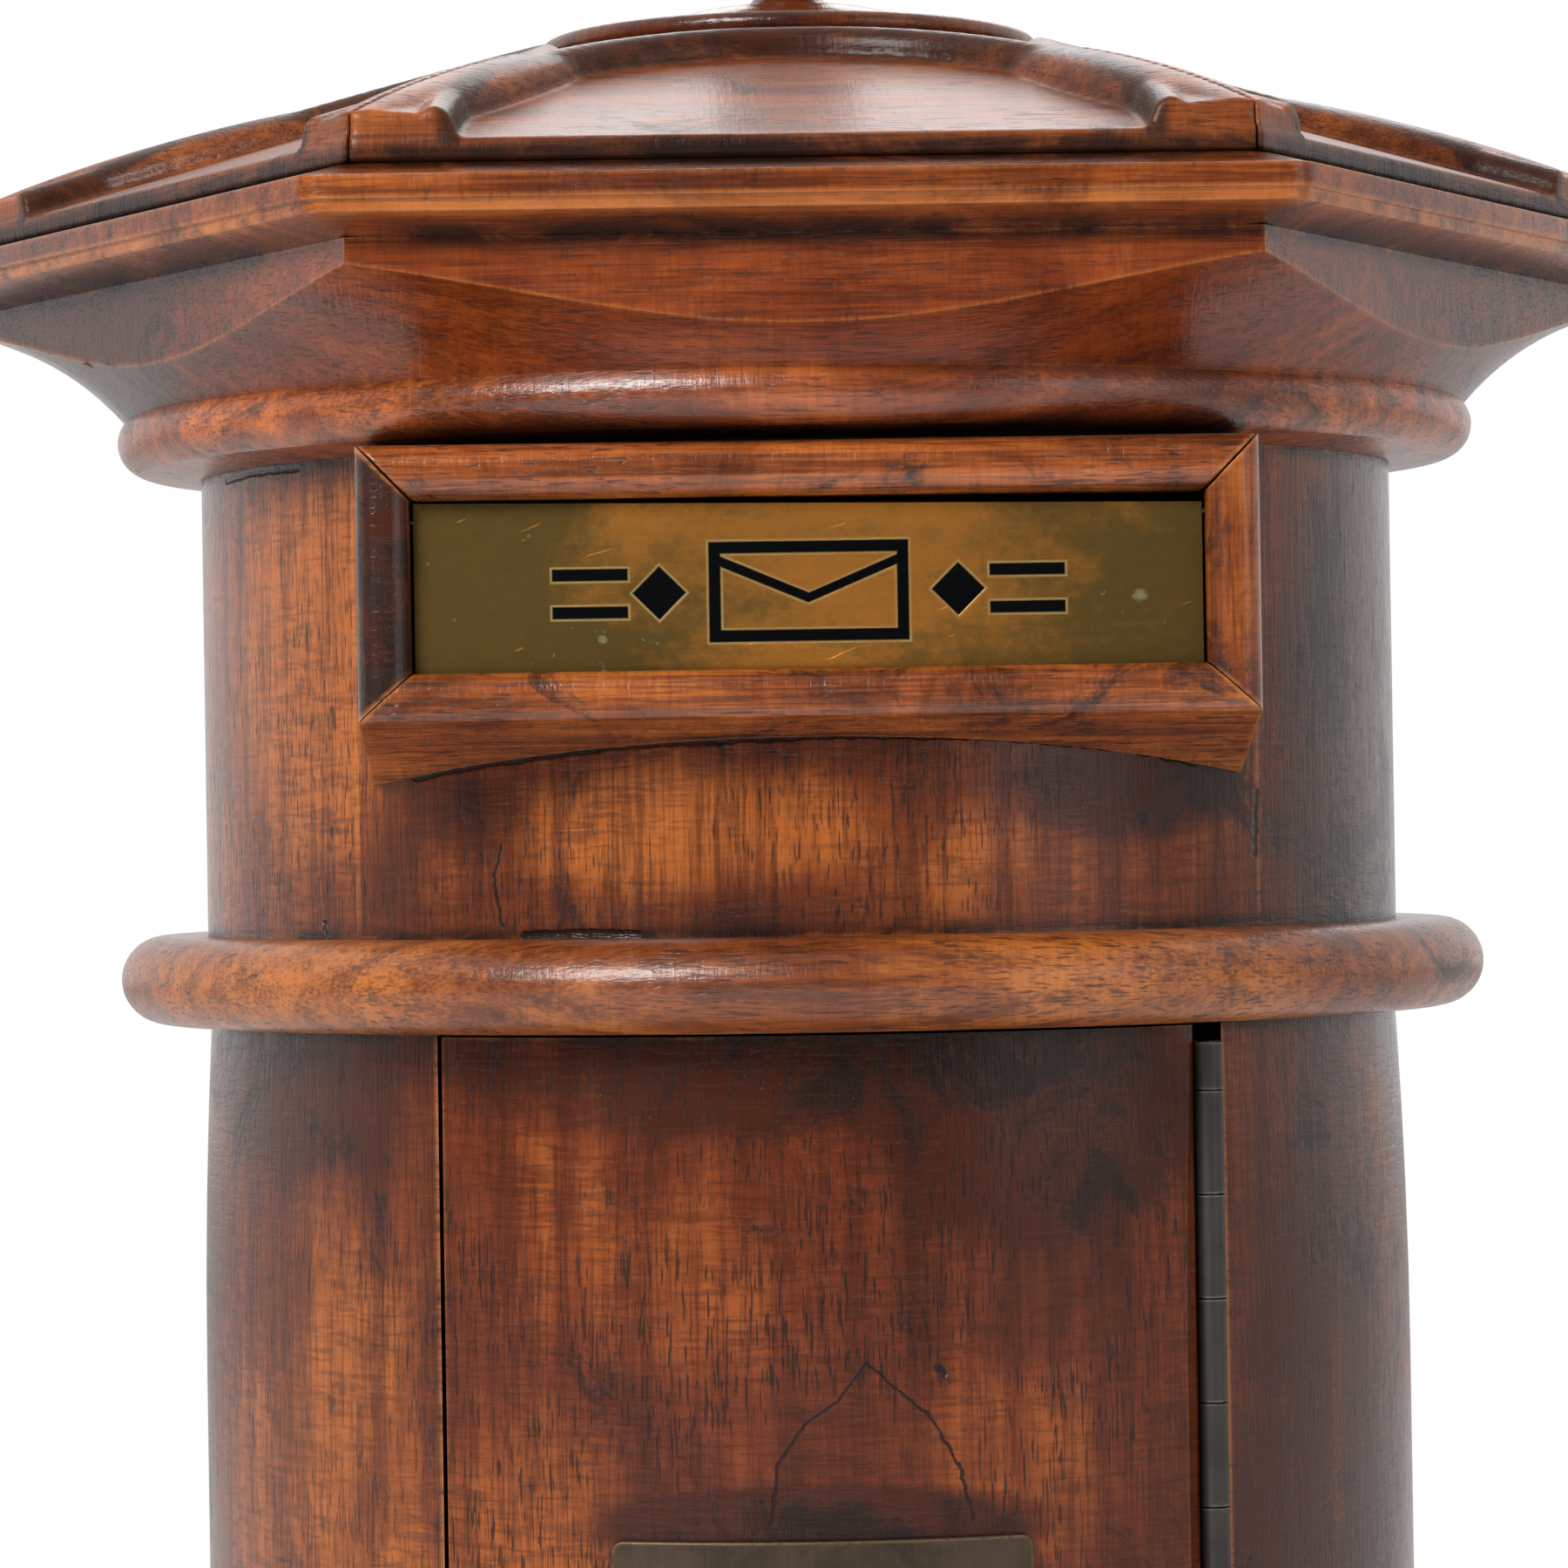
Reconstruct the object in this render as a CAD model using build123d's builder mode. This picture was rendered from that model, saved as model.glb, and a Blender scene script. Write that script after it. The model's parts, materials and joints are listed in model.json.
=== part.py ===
"""Country-house letter box: a coopered drum under a hexagonal carved roof.

Millimetres, +Z up, the front faces -Y. The origin is the centre of the underside.
"""

from build123d import *

import os
from math import asin, cos, degrees, radians, sin, sqrt, tan

os.makedirs("parts", exist_ok=True)

# Drum walls
wall_radius = 119.7
wall_thickness = 12.2
lower_swell = 1.5  # the lower wall stands this much further out than the upper one
lower_pinch = 0.5  # and is drawn in this much right under the band
swell_height = 70.0
lower_wall_height = 244.4
upper_wall_height = 90.7
upper_seam = 45.0  # degrees from the front to the first seam
back_seam = 135.0
far = 4 * wall_radius  # past every wall, for cutting planes

# Base
plinth_height = 30.0
plinth_overhang = 30.3
plinth_nose = 9.0
moulding_height = 22.0
moulding_foot_overhang = 22.0
moulding_top_overhang = 6.0
moulding_bore_inset = 28.0
floor_thickness = 8.0
floor_clearance = 0.4
floor_setback = 2.0  # behind the doorway, clear of the swinging door

# Mid band
band_height = 17.3
band_overhang = 17.3
band_bore_inset = 19.7

# Ring board and cornice
ring_height = 11.9
ring_overhang = 16.5
ring_rise = 1.6
cornice_foot_overhang = 15.0
cornice_apothem_overhang = 22.4
cornice_height = 23.5
cove_height = 19.0
cove_bow = 2.8
cove_cover = 1.0  # past the hexagon's corners, so that they stay sharp
board_seam = 54.0

# Cornice slab
slab_height = 13.2
slab_overhang = 11.3
slab_cove_height = 3.4
slab_fillet_height = 2.2
slab_fillet_inset = 0.9
slab_face_height = 4.5

# Roof
roof_inset = 0.6
eave_height = 4.2
roof_pitch = 17.5
arch_half_width = 62.0  # inside the rib, at the eave
arch_height = 78.6
rib_half_width = 3.9
rib_height = 5.3
rib_overrun = 8.0  # degrees that the rib's sweep runs on past the eave before it is trimmed
foot_length = 46.0  # up the hip from the corner
foot_half_width = 17.3
foot_height = 6.3
foot_sink = 2.6  # of its middle, below the hip
foot_tip_half_width = 4.5
foot_tip_height = 4.4
foot_setback = 0.8
roof_sides = 6
disc_radius = 50.4
disc_height = 4.4
disc_clearance = 2.6

# Finial
finial_foot_radius = 28.0
finial_foot_height = 6.5
finial_neck_radius = 10.0
finial_neck_height = 6.0
finial_neck_waist = 0.7  # share of the neck's step that its hollow takes
finial_stem_radius = 6.0
finial_bead_radius = 3.0
finial_knob_radius = 15.5
finial_height = 52.0
spigot_radius = 7.0
spigot_length = 24.0
spigot_clearance = 0.1

# Slot frame
frame_width = 163.0
frame_projection = 14.3
stile_width = 9.8
opening_height = 31.1
top_rail_height = 10.1
bottom_rail_height = 8.8
frame_top_gap = 1.0
underside_slope = 13.4
rail_round = 4.2
rebate_depth = 1.2
mitre_gap = 0.3

# Letter flap
flap_setback = 6.0
flap_thickness = 2.0
flap_side_gap = 0.5
flap_top_gap = 0.4
flap_skew = 1.6
flap_lap = 0.7
flap_lip_gap = 0.3
flap_pivot_drop = 3.2
flap_pin_radius = 0.6
flap_pin_clearance = 0.05
flap_pin_seat = 6.0
flap_pin_reach = 5.0

# Door
door_left = 68.9
door_right = 70.8
door_gap = 0.8
door_stop_clearance = 0.3
door_bevel = 1.5
door_bevel_depth = 3.0
stop_lap = 5.9
stop_tail = 6.3
stop_thickness = 6.0

# Piano hinge
barrel_radius = 2.8
leaf_thickness = 1.2
leaf_width = 12.4
pin_inset = 1.7
knuckle_pitch = 19.4
knuckle_stub = 9.1  # what the top knuckle keeps where the hinge was cut to length
knuckle_gap = 0.3
hinge_pin_radius = 1.05
pin_clearance = 0.07
hinge_end_margin = 3.1
leaf_relief = 0.4
hinge_screw_count = 5
hinge_screw_radius = 1.2
hinge_screw_length = 5.5
hinge_screw_head_radius = 2.2
screw_clearance = 0.05

# Plaque
plaque_width = 77.0
plaque_height = 95.0
plaque_top_drop = 91.6  # below the door's top edge
plaque_thickness = 1.8
plaque_corner = 2.0

# Lock
lock_angle = 24.0  # left of the front
lock_height = 165.0
lock_face_radius = 9.5
lock_face_thickness = 2.0
lock_face_proud = 0.8
lock_barrel_radius = 8.0
lock_hole_clearance = 0.1
lock_nut_radius = 11.0
lock_nut_height = 3.0
nut_sides = 6
plug_radius = 5.5
plug_clearance = 0.06
plug_tail = 0.3
key_slot_length = 6.0
key_slot_width = 1.2
key_slot_depth = 4.0
cam_thickness = 1.6
cam_length = 30.0
cam_half_width = 6.0
cam_stop_gap = 0.5
cam_screw_radius = 1.5
cam_screw_head_radius = 3.4
cam_screw_head_height = 1.8
cam_screw_length = 8.0

# Assembly screws
wood_screw_radius = 2.2
wood_screw_head_radius = 4.4
wood_screw_head_depth = 2.2
wood_screw_sink = 1.0
base_screw_length = 40.0
base_screw_circle_inset = 8.0
ring_screw_length = 26.0
ring_screw_circle_inset = 40.0
wood_screw_count = 4
screw_angle = 45.0

# Heights, from the floor up
moulding_z = plinth_height
lower_z = moulding_z + moulding_height
band_z = lower_z + lower_wall_height
upper_z = band_z + band_height
ring_z = upper_z + upper_wall_height
cornice_z = ring_z + ring_height
slab_z = cornice_z + cornice_height
roof_z = slab_z + slab_height

# Radii that follow from the drum
inner_radius = wall_radius - wall_thickness
lower_radius = wall_radius + lower_swell
lower_top_radius = wall_radius - lower_pinch
cornice_apothem = wall_radius + cornice_apothem_overhang
opening_width = frame_width - 2 * stile_width
half_side = 180 / roof_sides  # degrees between a face's middle and its corner
roof_tan = tan(radians(half_side))


def polar(radius, angle):
    """Plan point at an angle from the front, positive to the right."""
    return (radius * sin(radians(angle)), -radius * cos(radians(angle)))


def sector(start, end):
    """Plan outline of everything between two radial planes."""
    middle = (start + end) / 2
    return [(0, 0), polar(far, start), polar(far, middle), polar(far, end)]


def save(piece, label):
    """Labels a finished piece and writes its STEP file."""
    piece.label = label
    export_step(piece, f"parts/{label}.step")


def hexagon(apothem):
    """Adds a hexagon with one flat to the front to the open sketch."""
    RegularPolygon(apothem, roof_sides, major_radius=False, rotation=0)


# ---------------------------------------------------------------- base
plinth_radius = wall_radius + plinth_overhang
base_screw_circle = inner_radius + base_screw_circle_inset

with BuildPart() as base_plinth:
    with BuildSketch(Plane.XZ):
        with BuildLine():
            nose_z = plinth_height - plinth_nose
            Polyline((0, plinth_height), (0, 0), (plinth_radius, 0), (plinth_radius, nose_z))
            RadiusArc((plinth_radius, nose_z), (plinth_radius - plinth_nose, plinth_height), -plinth_nose)
            Line((plinth_radius - plinth_nose, plinth_height), (0, plinth_height))
        make_face()
    revolve(axis=Axis.Z)
    with BuildSketch(Plane.XY):
        with PolarLocations(base_screw_circle, wood_screw_count, start_angle=screw_angle):
            Circle(wood_screw_radius + screw_clearance)
    extrude(amount=plinth_height, mode=Mode.SUBTRACT)
    with BuildSketch(Plane.XY):
        with PolarLocations(base_screw_circle, wood_screw_count, start_angle=screw_angle):
            Circle(wood_screw_head_radius + screw_clearance)
    extrude(amount=wood_screw_sink + wood_screw_head_depth, mode=Mode.SUBTRACT)
save(base_plinth.part, "base_plinth")

moulding_foot = wall_radius + moulding_foot_overhang
moulding_top = wall_radius + moulding_top_overhang
moulding_step = moulding_height / 4
with BuildPart() as base_moulding:
    with BuildSketch(Plane.XZ):
        with BuildLine():
            bore = wall_radius - moulding_bore_inset
            Polyline(
                (moulding_top, lower_z),
                (bore, lower_z),
                (bore, moulding_z),
                (moulding_foot, moulding_z),
                (moulding_foot, moulding_z + moulding_step),
            )
            EllipticalCenterArc(
                (moulding_foot, lower_z - moulding_step),
                moulding_foot - moulding_top,
                moulding_height - 2 * moulding_step,
                180,
                arc_size=90,
            )
            Line((moulding_top, lower_z - moulding_step), (moulding_top, lower_z))
        make_face()
    revolve(axis=Axis.Z)
    with BuildSketch(Plane.XY.offset(moulding_z)):
        with PolarLocations(base_screw_circle, wood_screw_count, start_angle=screw_angle):
            Circle(wood_screw_radius + screw_clearance)
    extrude(amount=base_screw_length - plinth_height + wood_screw_sink + screw_clearance, mode=Mode.SUBTRACT)
save(base_moulding.part, "base_moulding")

with BuildPart() as base_screws:
    with BuildSketch(Plane.XY.offset(wood_screw_sink)):
        with PolarLocations(base_screw_circle, wood_screw_count, start_angle=screw_angle):
            Circle(wood_screw_head_radius)
    extrude(amount=wood_screw_head_depth)
    with BuildSketch(Plane.XY.offset(wood_screw_sink)):
        with PolarLocations(base_screw_circle, wood_screw_count, start_angle=screw_angle):
            Circle(wood_screw_radius)
    extrude(amount=base_screw_length)
save(base_screws.part, "base_screws")

# ---------------------------------------------------------------- hinge line and doorway
pin_x = door_right + barrel_radius
pin_y = -sqrt((lower_radius - pin_inset) ** 2 - pin_x**2)
jamb_left = -(door_left + door_gap)
jamb_right = pin_x + barrel_radius
door_z = lower_z + door_gap
door_height = lower_wall_height - 2 * door_gap
hinge_z = door_z + hinge_end_margin
hinge_length = door_height - 2 * hinge_end_margin
full_knuckles = int((hinge_length - knuckle_stub) // knuckle_pitch)
top_seam = hinge_z + hinge_length - knuckle_stub
seams = [top_seam - k * knuckle_pitch for k in range(full_knuckles, -1, -1)]
knuckles = list(zip([hinge_z, *seams], [*seams, hinge_z + hinge_length]))
screw_spacing = hinge_length / hinge_screw_count
screw_y = pin_y + (barrel_radius + leaf_relief + leaf_width) / 2
screw_heights = [hinge_z + screw_spacing * (k + 0.5) for k in range(hinge_screw_count)]


def lower_wall_section(bore):
    """Half the section of the lower wall, which swells out below the band."""
    swell_start = (lower_radius, band_z - swell_height)
    with BuildSketch(Plane.XZ) as section:
        with BuildLine():
            Polyline((lower_top_radius, band_z), (bore, band_z), (bore, lower_z), (lower_radius, lower_z), swell_start)
            TangentArc(swell_start, (lower_top_radius, band_z), tangent=(0, 1))
        make_face()
    return section.sketch


def hinge_screw_planes(x, facing):
    """Planes on an upright face at x, one for each hinge screw, looking along +X or -X."""
    return [Plane(origin=(x, screw_y, z), x_dir=(0, 1, 0), z_dir=(facing, 0, 0)) for z in screw_heights]


# ---------------------------------------------------------------- lower drum
lower_walls = {
    "lower_wall_left": (-back_seam, 0),
    "lower_wall_back": (back_seam, 360 - back_seam),
    "lower_wall_right": (0, back_seam),
}
for name, (start, end) in lower_walls.items():
    with BuildPart() as lower_wall:
        revolve(lower_wall_section(inner_radius), axis=Axis.Z)
        with BuildSketch(Plane.XY.offset(lower_z)):
            with BuildLine():
                Polyline(*sector(start, end), close=True)
            make_face()
        extrude(amount=lower_wall_height, mode=Mode.INTERSECT)
        with BuildSketch(Plane.XY.offset(lower_z)):
            with BuildLine():
                Polyline((jamb_left, 0), (jamb_right, 0), (jamb_right, -far), (jamb_left, -far), close=True)
            make_face()
        extrude(amount=lower_wall_height, mode=Mode.SUBTRACT)
        if name == "lower_wall_right":
            with BuildSketch(*hinge_screw_planes(jamb_right, -1)):
                Circle(hinge_screw_radius + screw_clearance)
            extrude(amount=-hinge_screw_length, mode=Mode.SUBTRACT)
    save(lower_wall.part, name)

doorway_angle = degrees(asin(jamb_right / inner_radius))
with BuildPart() as floor_board:
    with BuildSketch(Plane.XY.offset(lower_z)):
        Circle(inner_radius - floor_clearance)
    extrude(amount=floor_thickness)
    with BuildSketch(Plane.XY.offset(lower_z)):
        with BuildLine():
            Polyline(*sector(-doorway_angle, doorway_angle), close=True)
        make_face()
        Circle(inner_radius - floor_setback, mode=Mode.SUBTRACT)
    extrude(amount=floor_thickness, mode=Mode.SUBTRACT)
save(floor_board.part, "floor_board")

stop_z = lower_z + floor_thickness
with BuildPart() as door_stop:
    with BuildSketch(Plane.XY.offset(stop_z)):
        Circle(inner_radius)
        Circle(inner_radius - stop_thickness, mode=Mode.SUBTRACT)
        with BuildLine():
            Polyline(
                (jamb_left - stop_tail, 0),
                (stop_lap - door_left, 0),
                (stop_lap - door_left, -far),
                (jamb_left - stop_tail, -far),
                close=True,
            )
        make_face(mode=Mode.INTERSECT)
    extrude(amount=band_z - stop_z)
save(door_stop.part, "door_stop")

# ---------------------------------------------------------------- door
lock_out = Vector(*polar(1, -lock_angle), 0)
lock_side = Vector(cos(radians(lock_angle)), -sin(radians(lock_angle)), 0)
door_inner_radius = inner_radius + door_stop_clearance


def lock_plane(distance):
    """Plane square to the lock's axis at a distance from the drum's axis, facing out."""
    return Plane(origin=lock_out * distance + Vector(0, 0, lock_height), x_dir=lock_side, z_dir=lock_out)


face_seat = lower_radius + lock_face_proud - lock_face_thickness
with BuildPart() as door:
    revolve(lower_wall_section(door_inner_radius), axis=Axis.Z)
    with BuildSketch(Plane.XY.offset(door_z)):
        with BuildLine():
            bevel_y = -sqrt(lower_radius**2 - door_right**2)
            bevel_slope = door_bevel / door_bevel_depth
            Polyline(
                (-door_left, 0),
                (door_right, 0),
                (door_right, bevel_y + door_bevel_depth),
                (door_right - far * bevel_slope / 2, bevel_y + door_bevel_depth - far / 2),
                (-door_left, -far),
                close=True,
            )
        make_face()
    extrude(amount=door_height, mode=Mode.INTERSECT)
    with BuildSketch(lock_plane(0)):
        Circle(lock_barrel_radius + lock_hole_clearance)
    extrude(amount=far, mode=Mode.SUBTRACT)
    with BuildSketch(lock_plane(face_seat)):
        Circle(lock_face_radius + lock_hole_clearance)
    extrude(amount=far, mode=Mode.SUBTRACT)
    with BuildSketch(*hinge_screw_planes(door_right, 1)):
        Circle(hinge_screw_radius + screw_clearance)
    extrude(amount=-hinge_screw_length, mode=Mode.SUBTRACT)
save(door.part, "door")

plaque_z = door_z + door_height - plaque_top_drop - plaque_height
with BuildPart() as plaque:
    with BuildSketch(Plane.XY.offset(plaque_z)):
        Circle(lower_radius + plaque_thickness)
        Circle(lower_radius, mode=Mode.SUBTRACT)
    extrude(amount=plaque_height)
    with BuildSketch(Plane.XZ):
        with Locations((0, plaque_z + plaque_height / 2)):
            RectangleRounded(plaque_width, plaque_height, plaque_corner)
    extrude(amount=far, mode=Mode.INTERSECT)
save(plaque.part, "plaque")


# ---------------------------------------------------------------- piano hinge
def build_leaf(side, first):
    """Leaf on one side of the pin: -1 is the door's, +1 the body's; every other knuckle is its own."""
    with BuildPart() as leaf:
        plate_x = pin_x + side * (barrel_radius - leaf_thickness / 2)
        plate_start = barrel_radius + leaf_relief
        with BuildSketch(Plane.XY.offset(hinge_z)):
            with Locations((plate_x, pin_y + (plate_start + leaf_width) / 2)):
                Rectangle(leaf_thickness, leaf_width - plate_start)
        extrude(amount=hinge_length)
        for foot, head in knuckles[first::2]:
            with BuildSketch(Plane.XY.offset(foot + knuckle_gap / 2)):
                with Locations((pin_x, pin_y)):
                    Circle(barrel_radius)
                with Locations((plate_x, pin_y + plate_start / 2)):
                    Rectangle(leaf_thickness, plate_start)
                with Locations((pin_x, pin_y)):
                    Circle(hinge_pin_radius + pin_clearance, mode=Mode.SUBTRACT)
            extrude(amount=head - foot - knuckle_gap)
        wood_x = pin_x + side * barrel_radius
        with BuildSketch(*hinge_screw_planes(wood_x, -side)):
            Circle(hinge_screw_radius + screw_clearance)
        extrude(amount=leaf_thickness, mode=Mode.SUBTRACT)
        with BuildSketch(*hinge_screw_planes(wood_x - side * leaf_thickness, side)):
            Circle(hinge_screw_head_radius + screw_clearance)
        extrude(amount=hinge_screw_head_radius - hinge_screw_radius, taper=45, mode=Mode.SUBTRACT)
    return leaf.part


def build_screws(side):
    """The countersunk screws of one leaf, heads flush with its inner face."""
    head_depth = hinge_screw_head_radius - hinge_screw_radius
    head_x = pin_x + side * (barrel_radius - leaf_thickness)
    with BuildPart() as screws:
        with BuildSketch(*hinge_screw_planes(head_x, side)):
            Circle(hinge_screw_head_radius)
        extrude(amount=head_depth, taper=45)
        with BuildSketch(*hinge_screw_planes(head_x, side)):
            Circle(hinge_screw_radius)
        extrude(amount=hinge_screw_length)
    return screws.part


save(build_leaf(-1, 0), "hinge_leaf_door")
save(build_leaf(1, 1), "hinge_leaf_body")
save(build_screws(-1), "hinge_screws_door")
save(build_screws(1), "hinge_screws_body")

with BuildPart() as hinge_pin:
    with BuildSketch(Plane.XY.offset(hinge_z)):
        with Locations((pin_x, pin_y)):
            Circle(hinge_pin_radius)
    extrude(amount=hinge_length)
save(hinge_pin.part, "hinge_pin")

# ---------------------------------------------------------------- lock
stop_corner = inner_radius - stop_thickness
cam_reach = cam_length - cam_half_width
cam_face = sqrt(stop_corner**2 - (cam_length + cam_half_width / 2) ** 2) - cam_stop_gap
plug_end = cam_face
housing_end = cam_face + plug_tail
lock_front = lower_radius + lock_face_proud
nut_face = sqrt(door_inner_radius**2 - lock_nut_radius**2) - lock_hole_clearance

with BuildPart() as lock_housing:
    with BuildSketch(lock_plane(housing_end)):
        Circle(lock_barrel_radius)
    extrude(amount=face_seat - housing_end)
    with BuildSketch(lock_plane(face_seat)):
        Circle(lock_face_radius)
    extrude(amount=lock_face_thickness)
    fillet(lock_housing.faces().sort_by(Axis(lock_plane(0).origin, lock_out))[-1].edges(), lock_face_proud / 2)
    with BuildSketch(lock_plane(housing_end)):
        Circle(plug_radius + plug_clearance)
    extrude(amount=lock_front - housing_end, mode=Mode.SUBTRACT)
save(lock_housing.part, "lock_housing")

with BuildPart() as lock_nut:
    with BuildSketch(lock_plane(nut_face - lock_nut_height)):
        RegularPolygon(lock_nut_radius, nut_sides)
        Circle(lock_barrel_radius + screw_clearance, mode=Mode.SUBTRACT)
    extrude(amount=lock_nut_height)
save(lock_nut.part, "lock_nut")

with BuildPart() as lock_plug:
    with BuildSketch(lock_plane(plug_end)):
        Circle(plug_radius)
    extrude(amount=lock_front - plug_end)
    with BuildSketch(lock_plane(lock_front - key_slot_depth)):
        Rectangle(key_slot_width, key_slot_length)
    extrude(amount=key_slot_depth, mode=Mode.SUBTRACT)
    with BuildSketch(lock_plane(plug_end)):
        Circle(cam_screw_radius + screw_clearance)
    extrude(amount=cam_screw_length, mode=Mode.SUBTRACT)
save(lock_plug.part, "lock_plug")

with BuildPart() as lock_cam:
    with BuildSketch(lock_plane(cam_face - cam_thickness)):
        SlotCenterPoint((0, -cam_reach / 2), (0, 0), 2 * cam_half_width, rotation=0)
        Circle(cam_screw_radius + screw_clearance, mode=Mode.SUBTRACT)
    extrude(amount=cam_thickness)
save(lock_cam.part, "lock_cam")

cam_screw_seat = cam_face - cam_thickness
with BuildPart() as cam_screw:
    with BuildSketch(lock_plane(cam_screw_seat - cam_screw_head_height)):
        Circle(cam_screw_head_radius)
    extrude(amount=cam_screw_head_height)
    with BuildSketch(lock_plane(cam_screw_seat)):
        Circle(cam_screw_radius)
    extrude(amount=cam_screw_length)
save(cam_screw.part, "cam_screw")

# ---------------------------------------------------------------- mid band
band_radius = wall_radius + band_overhang
band_round = band_height / 2
with BuildPart() as mid_band:
    with BuildSketch(Plane.XZ):
        with BuildLine():
            shoulder = band_radius - band_round
            bore = wall_radius - band_bore_inset
            Polyline((shoulder, upper_z), (bore, upper_z), (bore, band_z), (shoulder, band_z))
            ThreePointArc((shoulder, band_z), (band_radius, band_z + band_round), (shoulder, upper_z))
        make_face()
    revolve(axis=Axis.Z)
save(mid_band.part, "mid_band")

# ---------------------------------------------------------------- upper drum
opening_top = ring_z - frame_top_gap - top_rail_height
opening_bottom = opening_top - opening_height
aperture_bottom = opening_bottom - rebate_depth
upper_walls = {"front": 0, "right": 90, "back": 180, "left": 270}
for side, angle in upper_walls.items():
    with BuildPart() as upper_wall:
        with BuildSketch(Plane.XY.offset(upper_z)):
            Circle(wall_radius)
            Circle(inner_radius, mode=Mode.SUBTRACT)
            with BuildLine():
                Polyline(*sector(angle - upper_seam, angle + upper_seam), close=True)
            make_face(mode=Mode.INTERSECT)
        extrude(amount=upper_wall_height)
        if side == "front":
            with BuildSketch(Plane.XZ):
                with Locations((0, (opening_top + aperture_bottom) / 2)):
                    Rectangle(opening_width, opening_top - aperture_bottom)
            extrude(amount=far, mode=Mode.SUBTRACT)
    save(upper_wall.part, f"upper_wall_{side}")

# ---------------------------------------------------------------- slot frame
frame_front = wall_radius + frame_projection
frame_top = ring_z - frame_top_gap
frame_bottom = opening_bottom - bottom_rail_height
frame_back = sqrt(wall_radius**2 - (frame_width / 2) ** 2) - wall_thickness
frame_depth = frame_front - frame_back
flap_front = frame_front - flap_setback
pivot_z = opening_top - flap_top_gap - flap_pivot_drop
pivot_y = -(flap_front - flap_thickness / 2)


def front_view(corners):
    """Front-view outline of a mitred piece, drawn as (x, z) corners."""
    with BuildSketch(Plane.XZ) as outline:
        with BuildLine():
            Polyline(*corners, close=True)
        make_face()
    return outline.sketch


with BuildSketch(Plane.XY.offset(upper_z)) as drum_plan:
    Circle(wall_radius)


top_slope = stile_width / top_rail_height
bottom_slope = stile_width / bottom_rail_height
mitre_run = frame_depth * tan(radians(underside_slope)) + mitre_gap
half_frame = frame_width / 2
half_opening = opening_width / 2
rebate_front = flap_front + flap_lip_gap

with BuildPart() as frame_top_rail:
    with BuildSketch(Plane.YZ):
        with BuildLine():
            Polyline(
                (-frame_front, opening_top),
                (-frame_back, opening_top),
                (-frame_back, frame_top),
                (-frame_front, frame_top),
                close=True,
            )
        make_face()
        fillet(vertices().group_by(Axis.X)[0], rail_round)
    extrude(amount=half_frame, both=True)
    top_outline = [
        (-half_opening + mitre_gap, opening_top),
        (half_opening - mitre_gap, opening_top),
        (half_frame - mitre_gap, frame_top),
        (-half_frame + mitre_gap, frame_top),
    ]
    extrude(front_view(top_outline), amount=far, mode=Mode.INTERSECT)
    extrude(drum_plan.sketch, amount=upper_wall_height, mode=Mode.SUBTRACT)
save(frame_top_rail.part, "frame_top")

with BuildPart() as frame_bottom_rail:
    with BuildSketch(Plane.YZ):
        with BuildLine():
            drop = frame_depth * tan(radians(underside_slope))
            Polyline(
                (-frame_front, frame_bottom),
                (-frame_front, opening_bottom),
                (-rebate_front, opening_bottom),
                (-rebate_front, aperture_bottom),
                (-frame_back, aperture_bottom),
                (-frame_back, frame_bottom - drop),
                close=True,
            )
        make_face()
        fillet(vertices().group_by(Axis.X)[0].sort_by(Axis.Y)[-1], rail_round)
        fillet(vertices().group_by(Axis.X)[0].sort_by(Axis.Y)[0], rail_round / 2)
    extrude(amount=half_frame, both=True)
    bottom_outline = [
        (-half_opening + mitre_gap, opening_bottom),
        (half_opening - mitre_gap, opening_bottom),
        (half_frame - mitre_gap, frame_bottom),
        (half_frame - mitre_gap, frame_bottom - mitre_run),
        (-half_frame + mitre_gap, frame_bottom - mitre_run),
        (-half_frame + mitre_gap, frame_bottom),
    ]
    extrude(front_view(bottom_outline), amount=far, mode=Mode.INTERSECT)
    extrude(drum_plan.sketch, amount=upper_wall_height, mode=Mode.SUBTRACT)
save(frame_bottom_rail.part, "frame_bottom")

for name, side in (("frame_left", -1), ("frame_right", 1)):
    with BuildPart() as stile:
        with BuildSketch(Plane.XY.offset(frame_bottom - mitre_run)):
            with BuildLine():
                Polyline(
                    (side * half_opening, -frame_front),
                    (side * half_opening, -frame_back),
                    (side * half_frame, -frame_back),
                    (side * half_frame, -frame_front),
                    close=True,
                )
            make_face()
            fillet(vertices().group_by(Axis.Y)[0], rail_round)
        extrude(amount=frame_top - frame_bottom + mitre_run)
        stile_outline = [
            (side * half_opening, opening_bottom),
            (side * half_opening, opening_top),
            (side * half_frame, frame_top),
            (side * half_frame, frame_bottom),
        ]
        extrude(front_view(stile_outline), amount=far, mode=Mode.INTERSECT)
        extrude(drum_plan.sketch, amount=upper_wall_height, mode=Mode.SUBTRACT)
        with BuildSketch(Plane.YZ.offset(side * half_opening)):
            with Locations((pivot_y, pivot_z)):
                Circle(flap_pin_radius + flap_pin_clearance)
        extrude(amount=side * flap_pin_seat, mode=Mode.SUBTRACT)
    save(stile.part, name)

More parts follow.
